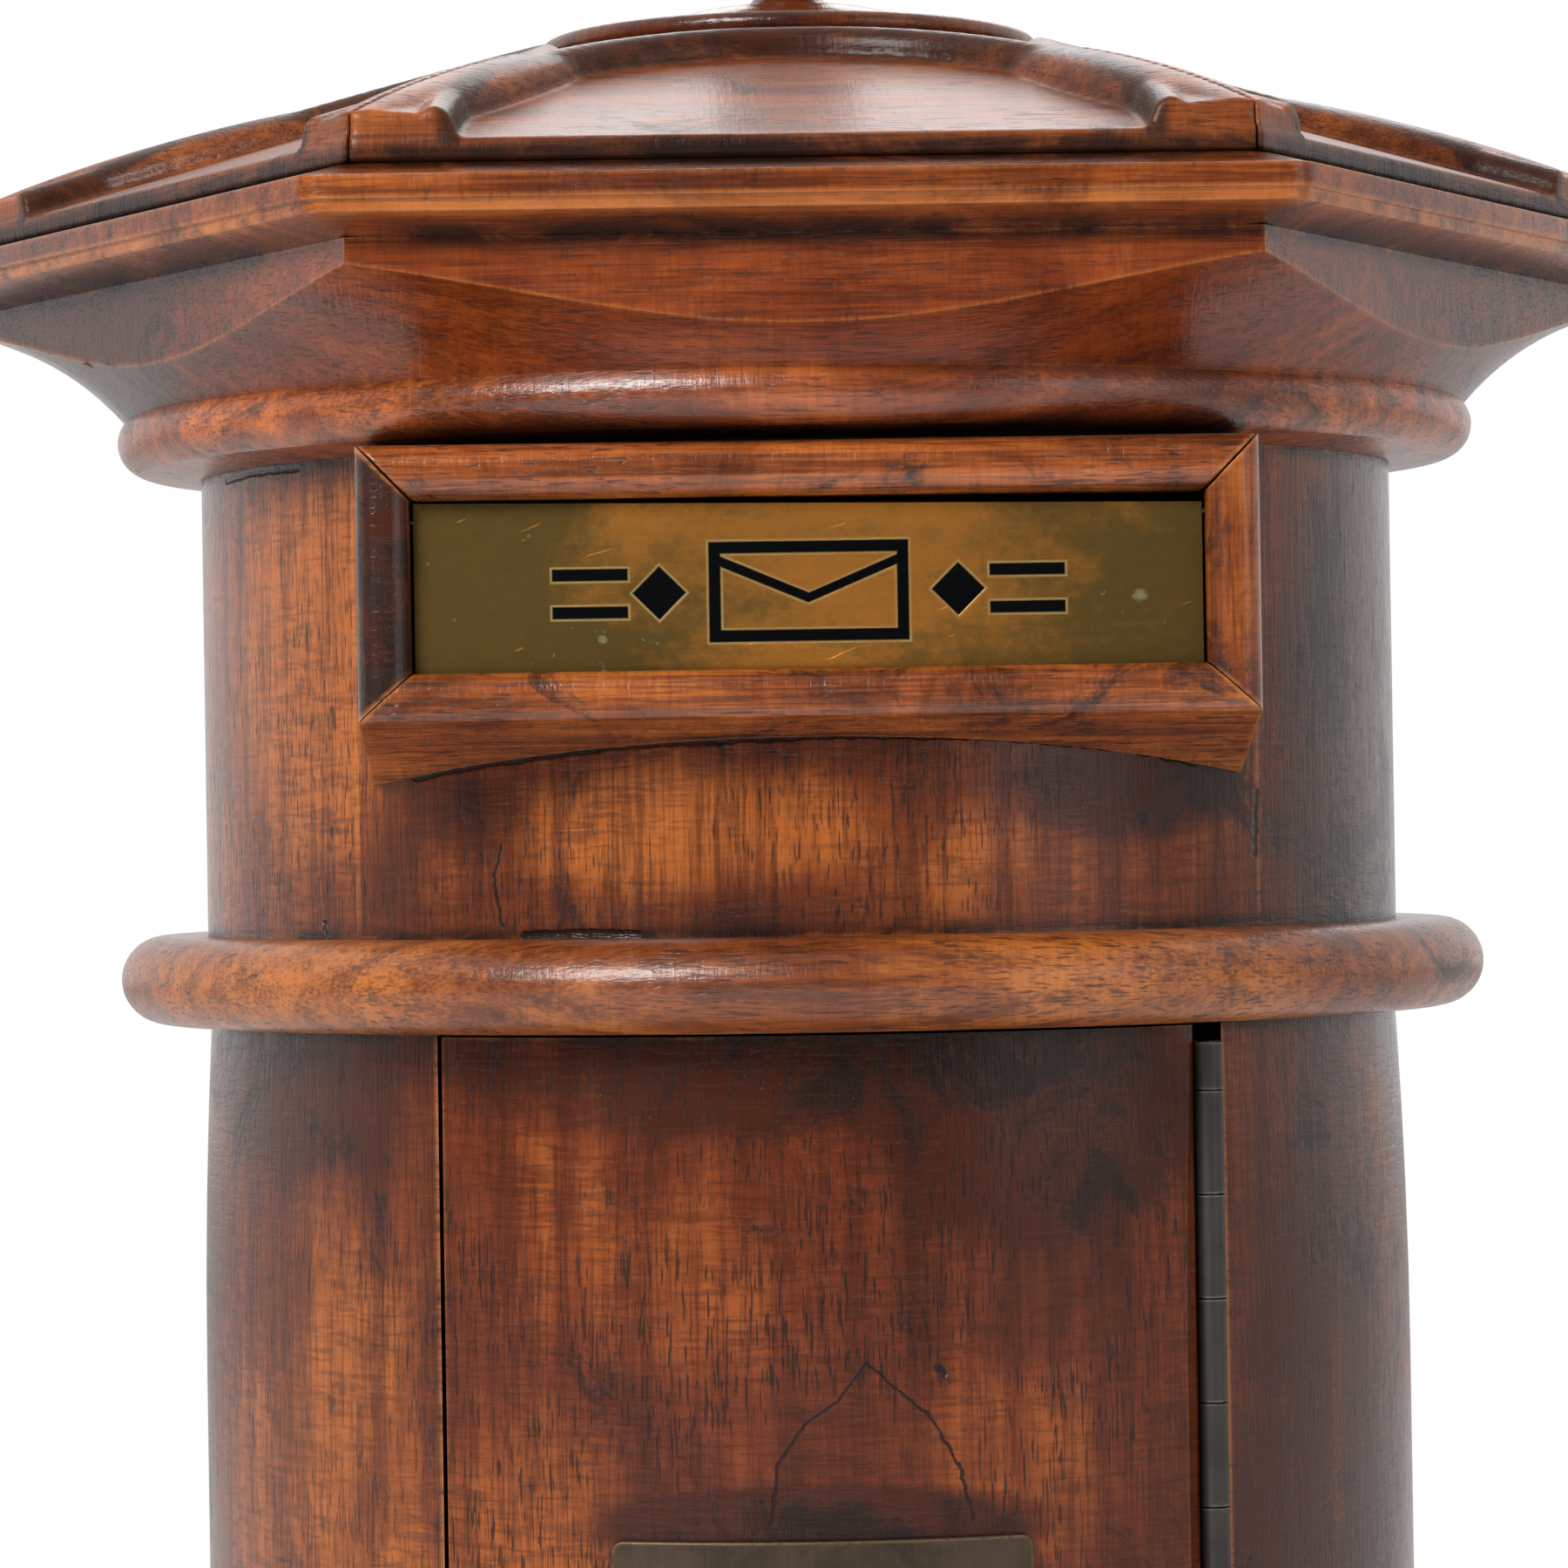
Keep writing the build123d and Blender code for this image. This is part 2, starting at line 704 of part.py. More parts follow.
# ---------------------------------------------------------------- letter flap
flap_half = half_opening - flap_side_gap
flap_top = opening_top - flap_top_gap
flap_foot = opening_bottom - flap_lap
with BuildPart() as letter_flap:
    with BuildSketch(Plane.XZ.offset(flap_front - flap_thickness)):
        with BuildLine():
            Polyline(
                (-flap_half, flap_foot),
                (flap_half, flap_foot),
                (flap_half, flap_top - flap_skew),
                (-flap_half, flap_top),
                close=True,
            )
        make_face()
    extrude(amount=flap_thickness)
    for side in (-1, 1):
        with BuildSketch(Plane.YZ.offset(side * flap_half)):
            with Locations((pivot_y, pivot_z)):
                Circle(flap_pin_radius + flap_pin_clearance)
        extrude(amount=-side * (flap_pin_reach + flap_side_gap), mode=Mode.SUBTRACT)
save(letter_flap.part, "letter_flap")

with BuildPart() as flap_pins:
    for side in (-1, 1):
        with BuildSketch(Plane.YZ.offset(side * (half_opening - flap_pin_reach))):
            with Locations((pivot_y, pivot_z)):
                Circle(flap_pin_radius)
        extrude(amount=side * (flap_pin_reach + flap_pin_seat))
save(flap_pins.part, "flap_pins")

# ---------------------------------------------------------------- ring board and cornice
ring_screw_circle = wall_radius - ring_screw_circle_inset
cornice_foot = wall_radius + cornice_foot_overhang
ring_radius = wall_radius + ring_overhang
with BuildPart() as ring_board:
    with BuildSketch(Plane.XZ):
        with BuildLine():
            lip = (cornice_foot - ring_height / 4, ring_z + ring_rise)
            Polyline((cornice_foot, cornice_z), (0, cornice_z), (0, ring_z), (wall_radius + frame_top_gap, ring_z), lip)
            ThreePointArc(lip, (ring_radius, (lip[1] + cornice_z) / 2), (cornice_foot, cornice_z))
        make_face()
    revolve(axis=Axis.Z)
    with BuildSketch(Plane.XY.offset(ring_z)):
        with PolarLocations(ring_screw_circle, wood_screw_count, start_angle=screw_angle):
            Circle(wood_screw_radius + screw_clearance)
    extrude(amount=ring_height, mode=Mode.SUBTRACT)
    with BuildSketch(Plane.XY.offset(ring_z)):
        with PolarLocations(ring_screw_circle, wood_screw_count, start_angle=screw_angle):
            Circle(wood_screw_head_radius + screw_clearance)
    extrude(amount=wood_screw_head_depth, mode=Mode.SUBTRACT)
save(ring_board.part, "ring_board")

with BuildPart() as ring_screws:
    with BuildSketch(Plane.XY.offset(ring_z)):
        with PolarLocations(ring_screw_circle, wood_screw_count, start_angle=screw_angle):
            Circle(wood_screw_head_radius)
    extrude(amount=wood_screw_head_depth)
    with BuildSketch(Plane.XY.offset(ring_z)):
        with PolarLocations(ring_screw_circle, wood_screw_count, start_angle=screw_angle):
            Circle(wood_screw_radius)
    extrude(amount=ring_screw_length)
save(ring_screws.part, "ring_screws")

corner_radius = cornice_apothem / cos(radians(half_side))
cove_top = (corner_radius + cove_cover, cornice_z + cove_height)
cove_middle = (
    (cornice_foot + cove_top[0]) / 2 - cove_bow * sin(radians(half_side)),
    cornice_z + cove_height / 2 + cove_bow * cos(radians(half_side)),
)
cornice_boards = {
    "cornice_front": (-far, -board_seam),
    "cornice_middle": (-board_seam, board_seam),
    "cornice_back": (board_seam, far),
}
for name, (front_y, back_y) in cornice_boards.items():
    with BuildPart() as cornice_board:
        with BuildSketch(Plane.XZ):
            with BuildLine():
                Polyline((cove_top[0], slab_z), (0, slab_z), (0, cornice_z), (cornice_foot, cornice_z))
                ThreePointArc((cornice_foot, cornice_z), cove_middle, cove_top)
                Line(cove_top, (cove_top[0], slab_z))
            make_face()
        revolve(axis=Axis.Z)
        with BuildSketch(Plane.XY.offset(cornice_z)):
            hexagon(cornice_apothem)
            with BuildLine():
                Polyline((-far, front_y), (far, front_y), (far, back_y), (-far, back_y), close=True)
            make_face(mode=Mode.INTERSECT)
        extrude(amount=cornice_height, mode=Mode.INTERSECT)
        with BuildSketch(Plane.XY.offset(cornice_z)):
            with PolarLocations(ring_screw_circle, wood_screw_count, start_angle=screw_angle):
                Circle(wood_screw_radius + screw_clearance)
        extrude(amount=ring_screw_length - ring_height + screw_clearance, mode=Mode.SUBTRACT)
    save(cornice_board.part, name)

slab_apothem = cornice_apothem + slab_overhang
slab_levels = [slab_z, slab_z + slab_cove_height, slab_z + slab_cove_height + slab_fillet_height]
slab_levels.append(slab_levels[-1] + slab_face_height)
roof_apothem = cornice_apothem - roof_inset
spigot_bore = spigot_radius + spigot_clearance
with BuildPart() as cornice_slab:
    with BuildSketch(Plane.XY.offset(slab_levels[0])):
        hexagon(cornice_apothem)
    with BuildSketch(Plane.XY.offset(slab_levels[1])):
        hexagon(slab_apothem - slab_fillet_inset)
    loft(ruled=True)
    with BuildSketch(Plane.XY.offset(slab_levels[1])):
        hexagon(slab_apothem - slab_fillet_inset)
    extrude(amount=slab_fillet_height)
    with BuildSketch(Plane.XY.offset(slab_levels[2])):
        hexagon(slab_apothem)
    extrude(amount=slab_face_height)
    with BuildSketch(Plane.XY.offset(slab_levels[3])):
        hexagon(slab_apothem - slab_fillet_inset)
    with BuildSketch(Plane.XY.offset(roof_z)):
        hexagon(roof_apothem)
    loft(ruled=True)
save(cornice_slab.part, "cornice_slab")

# ---------------------------------------------------------------- roof
slope = tan(radians(roof_pitch))
eave_z = roof_z + eave_height
disc_z = eave_z + slope * (roof_apothem - disc_radius * cos(radians(half_side)))
crown_radius = disc_radius + disc_clearance
facet_plane = Plane(
    origin=(0, -roof_apothem, eave_z),
    x_dir=(1, 0, 0),
    z_dir=(0, -sin(radians(roof_pitch)), cos(radians(roof_pitch))),
)
roof_corner = Vector(roof_apothem * roof_tan, -roof_apothem, eave_z)
hip_up = (Vector(0, 0, eave_z + slope * roof_apothem) - roof_corner).normalized()
hip_across = Vector(-cos(radians(half_side)), -sin(radians(half_side)), 0)


def foot_section(distance, half_width, height, sink):
    """Oval section of a carved foot, square to the hip at a distance up from the corner."""
    with BuildSketch(Plane(origin=roof_corner + hip_up * distance, x_dir=hip_across, z_dir=hip_up)) as section:
        with Locations((0, -sink)):
            Ellipse(half_width, height)
    return section.sketch


with BuildPart() as corner_foot:
    taper = (foot_half_width - foot_tip_half_width) / foot_length
    start = foot_section(-foot_half_width, foot_half_width * (1 + taper), foot_height, foot_sink)
    tip = foot_section(foot_length, foot_tip_half_width, foot_tip_height, 0)
    loft([start, tip])

with BuildPart() as arch_rib:
    with BuildLine(facet_plane) as arch_line:
        EllipticalCenterArc(
            (0, 0),
            arch_half_width + rib_half_width,
            arch_height + rib_half_width,
            -rib_overrun,
            arc_size=180 + 2 * rib_overrun,
        )
    with BuildSketch(Plane(origin=arch_line.line @ 0, x_dir=facet_plane.z_dir, z_dir=arch_line.line % 0)):
        Ellipse(rib_height, rib_half_width)
    sweep(path=arch_line.line)

with BuildPart() as carving:
    add(arch_rib.part)
    add(corner_foot.part)
    add(mirror(corner_foot.part, about=Plane.YZ))
    with BuildSketch(Plane.XY.offset(roof_z)):
        reach = (roof_apothem - foot_setback) * roof_tan
        with BuildLine():
            Polyline((0, 0), (-reach, foot_setback - roof_apothem), (reach, foot_setback - roof_apothem), close=True)
        make_face()
    extrude(amount=roof_apothem, mode=Mode.INTERSECT)

with BuildPart() as roof_segment:
    with BuildSketch(Plane.YZ):
        with BuildLine():
            Polyline(
                (-roof_apothem, roof_z),
                (0, roof_z),
                (0, eave_z + slope * roof_apothem),
                (-roof_apothem, eave_z),
                close=True,
            )
        make_face()
    extrude(amount=roof_apothem, both=True)
    with BuildSketch(Plane.XY.offset(roof_z)):
        with BuildLine():
            reach = roof_apothem * roof_tan
            Polyline((0, 0), (-reach, -roof_apothem), (reach, -roof_apothem), close=True)
        make_face()
    extrude(amount=roof_apothem, mode=Mode.INTERSECT)
    add(carving.part)
    with BuildSketch(Plane.XY.offset(disc_z)):
        Circle(crown_radius)
    extrude(amount=roof_apothem, mode=Mode.SUBTRACT)
    with BuildSketch(Plane.XY.offset(roof_z)):
        Circle(spigot_bore)
    extrude(amount=roof_apothem, mode=Mode.SUBTRACT)

roof_names = ["front", "front_right", "back_right", "back", "back_left", "front_left"]
for k, side in enumerate(roof_names):
    save(roof_segment.part.rotate(Axis.Z, k * 360 / roof_sides), f"roof_{side}")

with BuildPart() as roof_disc:
    with BuildSketch(Plane.XZ):
        with BuildLine():
            rim = disc_radius - disc_height / 2
            disc_top = disc_z + disc_height
            Polyline((rim, disc_top), (spigot_bore, disc_top), (spigot_bore, disc_z), (rim, disc_z))
            ThreePointArc((rim, disc_z), (disc_radius, disc_z + disc_height / 2), (rim, disc_top))
        make_face()
    revolve(axis=Axis.Z)
save(roof_disc.part, "roof_disc")

# ---------------------------------------------------------------- finial
finial_z = disc_z + disc_height
finial_top = finial_z + finial_height
foot_z = finial_z + finial_foot_height
neck_z = foot_z + finial_neck_height
bead_z = neck_z + 2 * finial_bead_radius
knob_z = finial_top - finial_knob_radius
knob_start = (finial_stem_radius, knob_z - sqrt(finial_knob_radius**2 - finial_stem_radius**2))
neck_hollow = (finial_neck_radius - finial_stem_radius) * finial_neck_waist
with BuildPart() as finial:
    with BuildSketch(Plane.XZ):
        with BuildLine():
            Polyline(
                (0, finial_top),
                (0, finial_z - spigot_length),
                (spigot_radius, finial_z - spigot_length),
                (spigot_radius, finial_z),
                (finial_foot_radius, finial_z),
            )
            EllipticalCenterArc(
                (finial_neck_radius, finial_z),
                finial_foot_radius - finial_neck_radius,
                finial_foot_height,
                0,
                arc_size=90,
            )
            ThreePointArc(
                (finial_neck_radius, foot_z),
                (finial_neck_radius - neck_hollow, foot_z + finial_neck_height / 3),
                (finial_stem_radius, neck_z),
            )
            ThreePointArc(
                (finial_stem_radius, neck_z),
                (finial_stem_radius + finial_bead_radius, neck_z + finial_bead_radius),
                (finial_stem_radius, bead_z),
            )
            Line((finial_stem_radius, bead_z), knob_start)
            ThreePointArc(knob_start, (finial_knob_radius, knob_z), (0, finial_top))
        make_face()
    revolve(axis=Axis.Z)
save(finial.part, "finial")
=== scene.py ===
"""Looks of a country-house letter box: aged mahogany, olive brass, dark bronze and steel."""

import json
import logging
from dataclasses import dataclass
from enum import Enum
from math import atan2, cos, pi, radians, sin, tan

import bmesh
import bpy
from mathutils import Euler, Matrix, Vector

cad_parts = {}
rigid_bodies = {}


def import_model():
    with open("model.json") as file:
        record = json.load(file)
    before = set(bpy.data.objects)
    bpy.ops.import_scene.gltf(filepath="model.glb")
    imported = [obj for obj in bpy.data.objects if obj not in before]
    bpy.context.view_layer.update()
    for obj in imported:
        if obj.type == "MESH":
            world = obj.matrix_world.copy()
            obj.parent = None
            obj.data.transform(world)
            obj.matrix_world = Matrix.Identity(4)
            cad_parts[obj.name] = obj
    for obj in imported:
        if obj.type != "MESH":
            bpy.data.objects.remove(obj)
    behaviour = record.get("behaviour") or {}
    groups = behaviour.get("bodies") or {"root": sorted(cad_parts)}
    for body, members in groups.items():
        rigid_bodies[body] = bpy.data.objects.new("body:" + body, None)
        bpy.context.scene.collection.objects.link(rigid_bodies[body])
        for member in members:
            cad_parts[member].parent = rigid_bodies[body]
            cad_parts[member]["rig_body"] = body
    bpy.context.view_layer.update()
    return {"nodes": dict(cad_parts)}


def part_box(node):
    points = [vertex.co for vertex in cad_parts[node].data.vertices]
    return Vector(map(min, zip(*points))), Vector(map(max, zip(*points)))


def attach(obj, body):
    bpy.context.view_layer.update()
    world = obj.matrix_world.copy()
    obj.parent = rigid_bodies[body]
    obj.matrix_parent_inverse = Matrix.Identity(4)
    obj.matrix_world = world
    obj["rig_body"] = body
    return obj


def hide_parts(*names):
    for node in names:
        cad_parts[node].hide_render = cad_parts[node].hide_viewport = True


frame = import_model()

log = logging.getLogger("letter_box")

MM = 0.001
SIXTH = pi / 3
DRUM_RADIUS = 120.0 * MM
OUTER_FACE = (111.0 * MM, 114.0 * MM)
HIP_PITCH = radians(17.5)
SHARP = radians(28)

Colour = tuple[float, float, float]
Point2 = tuple[float, float]
Pieces = list[bpy.types.Object]


# ---------------------------------------------------------------- shader expressions
class Value:
    """A number that varies over a surface, written with ordinary arithmetic."""

    def __init__(self, graph: "Graph", socket: bpy.types.NodeSocket) -> None:
        """Wraps an output socket of a node tree."""
        self.graph = graph
        self.socket = socket

    def _math(self, operation: str, *terms: "Value | float") -> "Value":
        """Adds one Math node.

        Args:
            operation: the Math node's operation.
            terms: its inputs in order.

        Returns:
            The node's result.
        """
        node = self.graph.node("ShaderNodeMath", {"operation": operation}, dict(enumerate(terms)))
        return Value(self.graph, node.outputs[0])

    def __add__(self, other: "Value | float") -> "Value":
        """Sum."""
        return self._math("ADD", self, other)

    def __radd__(self, other: float) -> "Value":
        """Sum with a number on the left."""
        return self._math("ADD", other, self)

    def __sub__(self, other: "Value | float") -> "Value":
        """Difference."""
        return self._math("SUBTRACT", self, other)

    def __rsub__(self, other: float) -> "Value":
        """Difference from a number."""
        return self._math("SUBTRACT", other, self)

    def __mul__(self, other: "Value | float") -> "Value":
        """Product."""
        return self._math("MULTIPLY", self, other)

    def __rmul__(self, other: float) -> "Value":
        """Product with a number on the left."""
        return self._math("MULTIPLY", other, self)

    def __truediv__(self, other: "Value | float") -> "Value":
        """Quotient."""
        return self._math("DIVIDE", self, other)

    def __rtruediv__(self, other: float) -> "Value":
        """A number over this value."""
        return self._math("DIVIDE", other, self)

    def __neg__(self) -> "Value":
        """Negative."""
        return self._math("MULTIPLY", self, -1.0)

    def __pow__(self, power: float) -> "Value":
        """Power."""
        return self._math("POWER", self, power)

    def __abs__(self) -> "Value":
        """Size without sign."""
        return self._math("ABSOLUTE", self)

    def least(self, other: "Value | float") -> "Value":
        """Smaller of two."""
        return self._math("MINIMUM", self, other)

    def most(self, other: "Value | float") -> "Value":
        """Larger of two."""
        return self._math("MAXIMUM", self, other)

    def root(self) -> "Value":
        """Square root."""
        return self._math("SQRT", self)

    def arctan2(self, other: "Value") -> "Value":
        """Angle whose tangent is this over the other."""
        return self._math("ARCTAN2", self, other)

    def step(self, low: float, high: float) -> "Value":
        """Smooth step between two values.

        Args:
            low: where the step is 0; it may be the larger of the two.
            high: where the step is 1.

        Returns:
            The step.
        """
        ends = {"From Min": low, "From Max": high, "To Min": 0.0, "To Max": 1.0}
        if low > high:
            ends = {"From Min": high, "From Max": low, "To Min": 1.0, "To Max": 0.0}
        settings = {"interpolation_type": "SMOOTHSTEP"}
        node = self.graph.node("ShaderNodeMapRange", settings, {"Value": self, **ends})
        return Value(self.graph, node.outputs[0])


class Graph:
    """A shader node tree, and the one way in which its nodes are made."""

    def __init__(self, tree: bpy.types.NodeTree) -> None:
        """Empties a node tree, to build it afresh."""
        self.tree = tree
        self.tree.nodes.clear()

    def node(self, kind: str, settings: dict, inputs: dict) -> bpy.types.Node:
        """Makes a node, sets it up and feeds it.

        Args:
            kind: the node's type.
            settings: attributes of the node, set first.
            inputs: socket name or number to a number, a colour, a Value or a socket.

        Returns:
            The node.
        """
        made = self.tree.nodes.new(kind)
        for key, value in settings.items():
            setattr(made, key, value)
        for key, value in inputs.items():
            self.feed(made.inputs[key], value)
        return made

    def feed(self, socket: bpy.types.NodeSocket, value: object) -> None:
        """Sets a socket's number or colour, or links something to it.

        Args:
            socket: the input socket.
            value: a number, a colour, a Value or an output socket.
        """
        if isinstance(value, Value):
            self.tree.links.new(value.socket, socket)
        elif isinstance(value, bpy.types.NodeSocket):
            self.tree.links.new(value, socket)
        elif isinstance(value, tuple) and len(value) == 3 and socket.type == "RGBA":
            socket.default_value = (*value, 1.0)
        else:
            socket.default_value = value


class Paint(Graph):
    """One material, and what its surface is described with."""

    def __init__(self, name: str) -> None:
        """Starts an empty material with a Principled surface.

        Args:
            name: the material's name.
        """
        self.material = bpy.data.materials.new(name)
        self.material.use_nodes = True
        super().__init__(self.material.node_tree)
        self.output = self.node("ShaderNodeOutputMaterial", {}, {})
        self.surface = self.node("ShaderNodeBsdfPrincipled", {}, {})
        self.tree.links.new(self.surface.outputs[0], self.output.inputs["Surface"])

    def look(self, inputs: dict[str, object]) -> None:
        """Feeds inputs of the Principled surface."""
        for name, value in inputs.items():
            self.feed(self.surface.inputs[name], value)

    def place(self) -> tuple[Value, Value, Value]:
        """Reads where on the object a point lies.

        Returns:
            Object coordinates x, y and z in metres.
        """
        where = self.node("ShaderNodeTexCoord", {}, {}).outputs["Object"]
        parts = self.node("ShaderNodeSeparateXYZ", {}, {0: where})
        return tuple(Value(self, parts.outputs[k]) for k in range(3))

    def point(self, x: Value | float, y: Value | float, z: Value | float) -> bpy.types.NodeSocket:
        """Vector of three values."""
        return self.node("ShaderNodeCombineXYZ", {}, {0: x, 1: y, 2: z}).outputs[0]

    def noise(self, at: bpy.types.NodeSocket, detail: float = 3.0, rough: float = 0.55,
              twist: float = 0.0) -> Value:
        """Fractal noise from 0 to 1.

        Args:
            at: where it is read, already scaled.
            detail: number of octaves.
            rough: strength of the finer octaves.
            twist: distortion.

        Returns:
            The noise.
        """
        inputs = {"Vector": at, "Scale": 1.0, "Detail": detail, "Roughness": rough, "Distortion": twist}
        return Value(self, self.node("ShaderNodeTexNoise", {"noise_dimensions": "3D"}, inputs).outputs[0])

    def mix(self, share: Value | float, low: object, high: object) -> bpy.types.NodeSocket:
        """Blends two colours.

        Args:
            share: 0 gives low and 1 gives high.
            low: first colour or socket.
            high: second colour or socket.

        Returns:
            The blended colour.
        """
        settings = {"data_type": "RGBA", "blend_type": "MIX", "clamp_factor": True}
        return self.node("ShaderNodeMix", settings, {0: share, 6: low, 7: high}).outputs[2]

    def worn(self, reach: float) -> Value:
        """Finds how near an arris a point is.

        Args:
            reach: width of the worn zone in metres.

        Returns:
            0 on flats to about 1 on edges.
        """
        rounded = self.node("ShaderNodeBevel", {"samples": 4}, {"Radius": reach}).outputs[0]
        true = self.node("ShaderNodeNewGeometry", {}, {}).outputs["Normal"]
        dot = self.node("ShaderNodeVectorMath", {"operation": "DOT_PRODUCT"}, {0: rounded, 1: true})
        return Value(self, dot.outputs["Value"]).step(0.995, 0.86)

    def hollow(self, reach: float) -> Value:
        """Finds how closed in a point is.

        Args:
            reach: distance in metres within which surfaces count.

        Returns:
            0 in the open to 1 in a tight recess.
        """
        shade = self.node("ShaderNodeAmbientOcclusion", {"samples": 4}, {"Distance": reach})
        return 1.0 - Value(self, shade.outputs["AO"])

    def bump(self, height: Value, depth: float, strength: float) -> bpy.types.NodeSocket:
        """Normal of a surface roughened by a height.

        Args:
            height: 0 to 1.
            depth: metres that a height of 1 stands for.
            strength: the Bump node's strength.

        Returns:
            The normal.
        """
        inputs = {"Strength": strength, "Distance": depth, "Height": height}
        return self.node("ShaderNodeBump", {}, inputs).outputs[0]


# ---------------------------------------------------------------- finishes
class Grain(Enum):
    """Which way the wood's grain runs."""

    STAVE = "up the drum"
    BOARD = "left to right"
    RAIL = "along a horizontal rail"
    STILE = "up a straight stile"


@dataclass(frozen=True)
class Crack:
    """A drying crack on the front: a line of (x, z) points, and its width, in millimetres."""

    line: tuple[Point2, ...]
    width: float = 0.35


@dataclass(frozen=True)
class LightPatch:
    """A soft patch, in millimetres, of painted light (tone over 0) or painted shade (tone under 0)."""

    x: float
    z: float
    reach_x: float
    reach_z: float
    tone: float


@dataclass(frozen=True)
class WoodFinish:
    """Aged waxed mahogany.

    Attributes:
        grain: which way the grain runs.
        turn: the piece's turn about the drum's axis.
        ground: the stained wood.
        glow: the wood's lighter tone, partly a painted sheen.
        deep: between the fibres and in the ripple of the figure.
        soot_and_shade: patina, dirt, pores, cracks, and painted shade in recesses.
        arris: worn edges.
        glow_share: how much of the wood takes the lighter tone.
        patina: how much of it is smoked.
        pores: strength of the pores.
        figure: strength of the ripple.
        wear: strength of the wear on edges.
        gloss: roughness of the wax.
        shine: specular level of the wax.
        cracks: drying cracks on the front.
        light_patches: soft patches of painted light and shade.
        dirt_and_shade_levels: heights in millimetres darkened by dirt at joints and painted shade under
            overhangs.
        glue_lines: depths in metres of glued seams between boards.
        mitred: whether the piece is a roof segment with a mitre on each side.
        dirt_and_shade_from: how closed in a recess is when dirt and painted shade start.
        arch: half width and height in millimetres of an arch rib.
        rubbed_levels: heights in millimetres of mouldings that are rubbed bright.
    """

    name: str
    grain: Grain
    turn: float = 0.0
    ground: Colour = (0.150, 0.0310, 0.0065)
    glow: Colour = (0.380, 0.102, 0.016)
    deep: Colour = (0.050, 0.0110, 0.0040)
    soot_and_shade: Colour = (0.012, 0.0055, 0.0038)
    arris: Colour = (0.50, 0.165, 0.040)
    glow_share: float = 0.5
    patina: float = 0.5
    pores: float = 0.12
    figure: float = 1.0
    wear: float = 0.6
    gloss: float = 0.20
    shine: float = 0.42
    cracks: tuple[Crack, ...] = ()
    light_patches: tuple[LightPatch, ...] = ()
    dirt_and_shade_levels: tuple[float, ...] = ()
    glue_lines: tuple[float, ...] = ()
    mitred: bool = False
    dirt_and_shade_from: float = 0.30
    arch: Point2 | None = None
    rubbed_levels: tuple[float, ...] = ()

    def arch_flank(self, paint: Paint) -> Value | None:
        """Finds the inner flank of the carved arch rib, darkened with painted shade.

        Args:
            paint: the material.

        Returns:
            1 along the flank and 0 elsewhere, or None where the piece has no arch.
        """
        if self.arch is None:
            return None
        x, y, _ = paint.place()
        c, s = cos(self.turn), sin(self.turn)
        low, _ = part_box("roof_front")
        across = (x * c + y * s) / (self.arch[0] * MM)
        up = ((y * c - x * s) - low.y) / (self.arch[1] * MM * cos(HIP_PITCH))
        reach = (across * across + up * up).root()
        return reach.step(0.975, 0.995) * reach.step(1.085, 1.03)

    def joint(self, paint: Paint) -> Value | None:
        """Measures how far the nearest glued joint of the piece is.

        Args:
            paint: the material.

        Returns:
            The distance in metres, or None where the piece shows no joint.
        """
        x, y, _ = paint.place()
        if self.mitred:
            c, s = cos(self.turn), sin(self.turn)
            return abs(y * c - x * s) * sin(SIXTH / 2) - abs(x * c + y * s) * cos(SIXTH / 2)
        gap = None
        for line in self.glue_lines:
            away = abs(y - line)
            gap = away if gap is None else gap.least(away)
        return gap

    def lengths(self, paint: Paint) -> tuple[Value, Value, Value]:
        """Measures a point's place in the grain.

        Args:
            paint: the material.

        Returns:
            Distances across, into and along the grain, in metres.
        """
        x, y, z = paint.place()
        if self.turn:
            c, s = cos(self.turn), sin(self.turn)
            x, y = x * c + y * s, y * c - x * s
        if self.grain is Grain.STAVE:
            return x.arctan2(-y) * DRUM_RADIUS, (x * x + y * y).root(), z
        if self.grain is Grain.STILE:
            return x, y, z
        return z, y, x

    def stain(self, paint: Paint) -> Value | float:
        """Adds up the soft patches of painted light and shade.

        Args:
            paint: the material.

        Returns:
            Over 0 for painted light, under 0 for painted shade.
        """
        total = 0.0
        x, _, z = paint.place()
        for patch in self.light_patches:
            u = (x - patch.x * MM) / (patch.reach_x * MM)
            v = (z - patch.z * MM) / (patch.reach_z * MM)
            total = (u * u + v * v).step(1.0, 0.0) * patch.tone + total
        return total

    def crack_mask(self, paint: Paint) -> Value | None:
        """Draws the cracks on the front's outer face.

        Args:
            paint: the material.

        Returns:
            1 inside any crack and 0 elsewhere, or None where the piece has none.
        """
        if not self.cracks:
            return None
        x, y, z = paint.place()
        front = (x * x + y * y).root().step(*OUTER_FACE) * (-y).step(0.0, 10 * MM)
        shake = paint.noise(paint.point(x * 400.0, 0.0, z * 400.0), 2.0) - 0.5
        x, z = x + shake * (1.6 * MM), z + shake * (1.2 * MM)
        mask = None
        for crack in self.cracks:
            for (ax, az), (bx, bz) in zip(crack.line, crack.line[1:]):
                dx, dz = (bx - ax) * MM, (bz - az) * MM
                span = dx * dx + dz * dz
                px, pz = x - ax * MM, z - az * MM
                along = ((px * dx + pz * dz) / span).most(0.0).least(1.0)
                away = ((px - along * dx) ** 2.0 + (pz - along * dz) ** 2.0).root()
                line = away.step(crack.width * MM, crack.width * 0.25 * MM)
                mask = line if mask is None else mask.most(line)
        return mask * front

    def make(self) -> bpy.types.Material:
        """Builds the material.

        Returns:
            The material.
        """
        paint = Paint(self.name)
        z = paint.place()[2]
        across, inward, along = self.lengths(paint)

